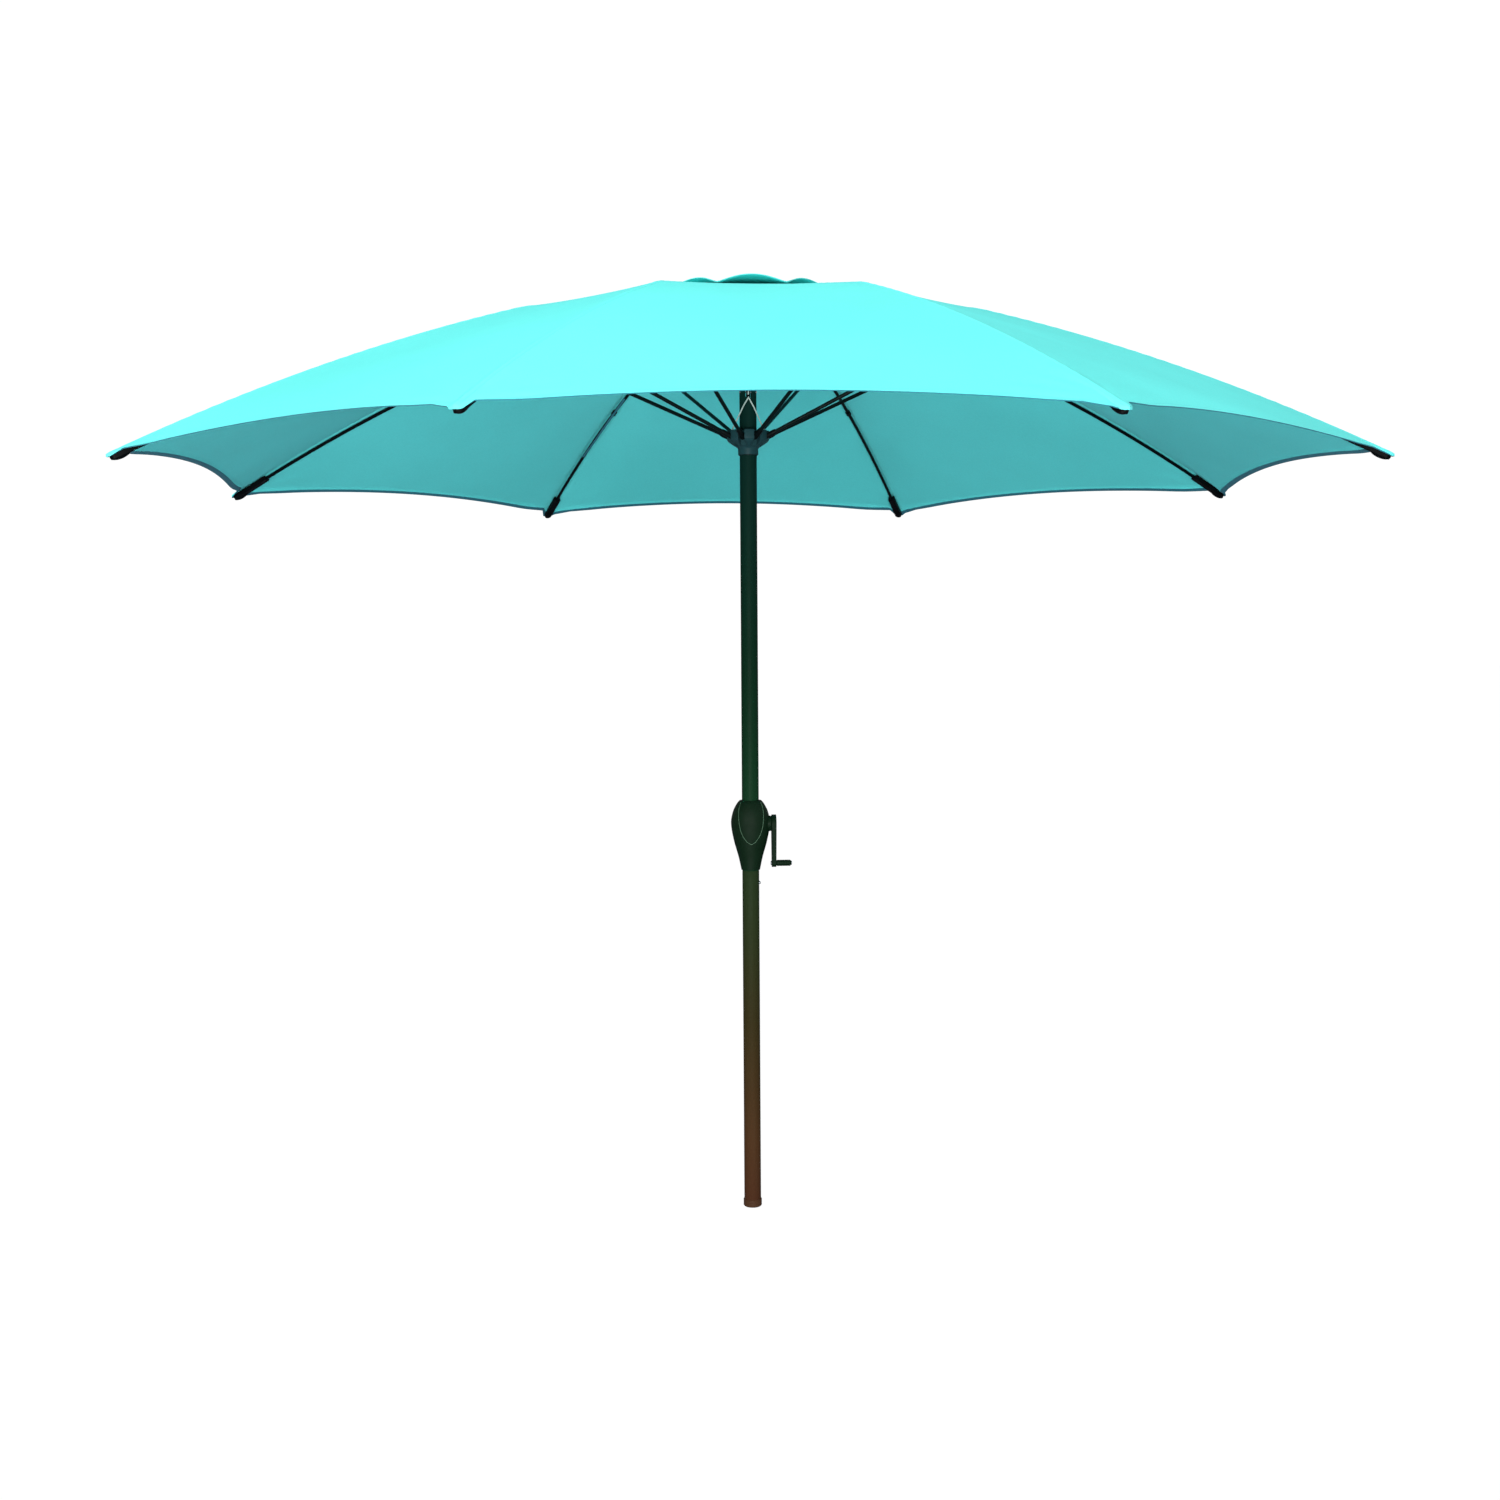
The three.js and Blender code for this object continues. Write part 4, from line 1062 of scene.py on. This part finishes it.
def crank_arm():
    low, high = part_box("crank_arm")
    hub, end = 0.020, 0.009
    lean = math.asin((hub - end) / ARM_LENGTH)
    top = np.linspace(-lean, math.pi + lean, 40)
    bottom = np.linspace(math.pi + lean, 2 * math.pi - lean, 24)
    outline = np.concatenate(
        [
            np.stack([np.cos(top), np.sin(top)], axis=1) * hub,
            np.stack([np.cos(bottom), np.sin(bottom)], axis=1) * end - [0, ARM_LENGTH],
        ]
    )
    place = Matrix.Translation((low.x, 0, CRANK_HEIGHT)) @ Matrix.Rotation(math.pi / 2, 4, "Z")
    upright = place @ Matrix.Rotation(math.pi / 2, 4, "X")
    made = new_object("arm_of_crank", [(placed(slab(outline, 0, high.x - low.x), upright), case_green)])
    inset = np.concatenate([outline[:40] * 0.62, outline[40:] * [0.45, 1] + [0, 0.022]])
    carve(made, [placed(slab(inset, high.x - low.x - 0.0008, 0.02), upright)])
    soften(made, 0.0012, 3)
    settle(made, "crank", "case_plastic", "crank_arm")
    collar = [(0.0064, 0.030), (0.0170, 0.030), (0.0176, low.x - 0.0028)]
    collar += [(0.0168, low.x - 0.0020), (0.0064, low.x - 0.0020)]
    shape = along_x(lathe(collar, 48, closed=True), CRANK_HEIGHT)
    single("case_collar", shape, case_green, "pole", "case_plastic")
    boss = [(0.0060, low.x - 0.0016), (0.0165, low.x - 0.0016), (0.0190, low.x + 0.001)]
    boss += [(0.0060, low.x + 0.001)]
    shape = along_x(lathe(boss, 48, closed=True), CRANK_HEIGHT)
    single("crank_boss", shape, case_green, "crank", "case_plastic")
    cover_cap = [(0.0103, high.x - 0.0012), (0.0103, high.x - 0.0004), (0.0088, high.x + 0.0003)]
    cover_cap += [(0.0003, high.x + 0.0006)]
    shape = along_x(lathe(fillet(cover_cap, 0.0006, 3), 48), CRANK_HEIGHT)
    single("crank_hub_cap", shape, case_green, "crank", "case_plastic")


def crank_grip():
    low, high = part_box("crank_grip")
    height = (low.z + high.z) / 2
    radius = (high.z - low.z) / 2
    bore = 0.0033
    profile = [(bore, low.x), (radius - 0.0012, low.x), (radius, low.x + 0.0018)]
    for groove in np.arange(low.x + 0.006, high.x - 0.006, 0.0042):
        profile += [(radius, groove - 0.0007), (radius - 0.0006, groove), (radius, groove + 0.0007)]
    profile += [(radius, high.x - 0.0028), (radius - 0.0022, high.x), (bore, high.x)]
    shape = lathe(fillet(profile, 0.0008, 2, True), 40, closed=True)
    shape = along_x(shape, height)
    single("grip_of_crank", shape, case_green, "grip", "case_plastic", "crank_grip")
    low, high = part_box("grip_pin")
    pin = [(0.0040, low.x), (0.0048, low.x + 0.0008), (0.0048, low.x + 0.0019)]
    pin += [(0.003, low.x + 0.0019), (0.003, high.x - 0.0017), (0.0048, high.x - 0.0017)]
    pin += [(0.0046, high.x - 0.0006), (0.0003, high.x)]
    shape = along_x(lathe(fillet(pin, 0.0005, 2), 32), height)
    single("pin_of_grip", shape, dark_steel, "crank", "steel", "grip_pin")


# ---- lift cord ----
def cord_legs():
    """Two legs from the slot, round the front of the pole, down to the eyes of the runner."""
    wrap = POLE_RADIUS + CORD_RADIUS + 0.0005
    leave = math.acos(wrap / EYE_RADIUS)
    leg = [np.array([EYE_RADIUS, 0, z]) for z in np.linspace(1.738, 1.752, 5)]
    start = np.array([EYE_RADIUS - 0.0008, 0, 1.7555])
    end = np.array([wrap * math.cos(leave), -wrap * math.sin(leave), 1.804])
    leg += [start + (end - start) * t for t in np.linspace(0, 1, 48, endpoint=False)]
    for t in np.linspace(0, 1, 12, endpoint=False):
        turn = -leave - (math.pi / 2 - leave) * t
        leg.append(np.array([wrap * math.cos(turn), wrap * math.sin(turn), 1.804 + 0.020 * t]))
    other = [p * [-1, 1, 1] for p in reversed(leg)]
    line = leg + [np.array([0, -wrap, 1.825])] + other
    made = new_object("cord_legs", [(tube(line, CORD_RADIUS, 10), cord)], sharp=60)
    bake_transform(made)
    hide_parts("cord_loop")


def strap_and_seam_shadow(k):
    """Tie strap sewn under the cover beside a rib, hanging loosely along it, in the darker cloth: its
    dark colour is partly painted shadow of the seam along the rib.
    """
    steps = 40
    radius = np.linspace(0.53, 0.76, steps) * TIP_RADIUS
    share = np.linspace(0, 1, steps)
    drop = 0.0075 + 0.006 * np.sin(math.pi * share) ** 0.7
    height = crown(radius) - RIB_DROP - drop
    line = np.stack([radius, 0.0075 + 0.001 * np.sin(5 * share), height], axis=1)
    wide, thin = 0.0028, 0.0006
    corners = [(-wide, -thin), (wide, -thin), (wide, thin), (-wide, thin)]
    rings = np.stack([line + [0, y, z] for y, z in corners], axis=1)
    shape = (rings.reshape(-1, 3), skin(steps, 4) + ends_of(steps, 4))
    # dark strap: partly painted shadow of the seam along the rib
    made = new_object("strap_and_seam_shadow", [(shape, painted_shade_cloth)])
    made.data.transform(on_rib(k))
    for label in ("weave", "hem"):
        add_uv(made.data, label, lambda p: p[:, :2] * 3)
    settle(made, f"rib_arm_{k}", "canopy_cloth")


def dress_nodes():
    """CAD nodes whose shape is right keep it and get a material."""
    looks = {
        "lift_cord": cord,
        "top_pulley": black,
        "pulley_pin": dark_steel,
        "crank_shaft": dark_steel,
        "button_spring": dark_steel,
    }
    for name, material in looks.items():
        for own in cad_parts[name].material_slots:
            own.material = material


# ---- stage ----
BACKDROP_WHITE = 1.04  # strength at which the floor and the backdrop show white


def floor():
    """Pale floor, shown almost white to the camera, so the object's shadow hardly shows on it."""
    side = 60
    shape = slab([(-side, -side), (side, -side), (side, side), (-side, side)], -0.02, 0.0)
    look = Look("floor", Roughness=0.9)
    look.paint(tint("788090"))
    seen = look.math("MULTIPLY", look.node("LightPath").outputs["Is Camera Ray"], 0.97)
    look.mix_in(seen, look.node("Emission", {"Strength": BACKDROP_WHITE}))
    new_object("floor", [(shape, look.material)])


def soft_box(name, place, target, size, power):
    light = bpy.data.lights.new(name, "AREA")
    light.shape = "RECTANGLE"
    light.size, light.size_y = size
    light.energy = power
    made = linked(name, light)
    aim = Vector(target) - Vector(place)
    made.matrix_world = Matrix.Translation(place) @ aim.to_track_quat("-Z", "Y").to_matrix().to_4x4()


def studio():
    """White backdrop, soft daylight from all round and three soft boxes in front."""
    world = bpy.data.worlds.new("studio")
    bpy.context.scene.world = world
    world.use_nodes = True
    tree = world.node_tree
    background = tree.nodes["Background"]
    background.inputs["Color"].default_value = (1, 1, 1, 1)
    path = tree.nodes.new("ShaderNodeLightPath")
    strength = tree.nodes.new("ShaderNodeMapRange")
    strength.inputs["To Min"].default_value = 0.55
    strength.inputs["To Max"].default_value = BACKDROP_WHITE
    tree.links.new(path.outputs["Is Camera Ray"], strength.inputs["Value"])
    tree.links.new(strength.outputs[0], background.inputs["Strength"])
    soft_box("key", (-2.3, -4.2, 5.2), (0, 0, 1.8), (3.0, 3.0), 335)
    soft_box("fill", (4.2, -2.6, 3.6), (0.3, 0, 1.6), (2.0, 2.0), 50)
    soft_box("low", (-0.5, -5.0, 0.5), (0, 1.0, 1.8), (4.0, 1.0), 290)


def camera():
    """The picture's viewpoint: 4 m in front of the pole, a little to the left."""
    data = bpy.data.cameras.new("camera")
    data.sensor_width = 36
    data.lens = 42.716
    made = linked("camera", data)
    place = Matrix.Translation((-0.2306, -3.985, 1.3078))
    turn = Matrix.Rotation(math.radians(-3.311), 4, "Z")
    tilt = Matrix.Rotation(math.radians(86.207), 4, "X")
    roll = Matrix.Rotation(math.radians(-0.35), 4, "Z")
    made.matrix_world = place @ turn @ tilt @ roll
    bpy.context.scene.camera = made


# ---- assembly ----
for k in range(1, RIBS + 1):
    cover(k)
    rib(k)
    bracket(k)
    strut(k)
    pocket(k)
top_hub()
top_cap()
runner()
lower_pole()
upper_pole()
pole_foot()
snap_button()
case_half("case_front", -1, "housing_front")
case_half("case_back", 1, "housing_rear")
case_front_line()
case_screw("case_screw_left", -1, "housing_screw_left")
case_screw("case_screw_right", 1, "housing_screw_right")
crank_arm()
crank_grip()
cord_legs()
strap_and_seam_shadow(3)
dress_nodes()
floor()
studio()
camera()
bpy.context.scene.view_settings.view_transform = "Standard"
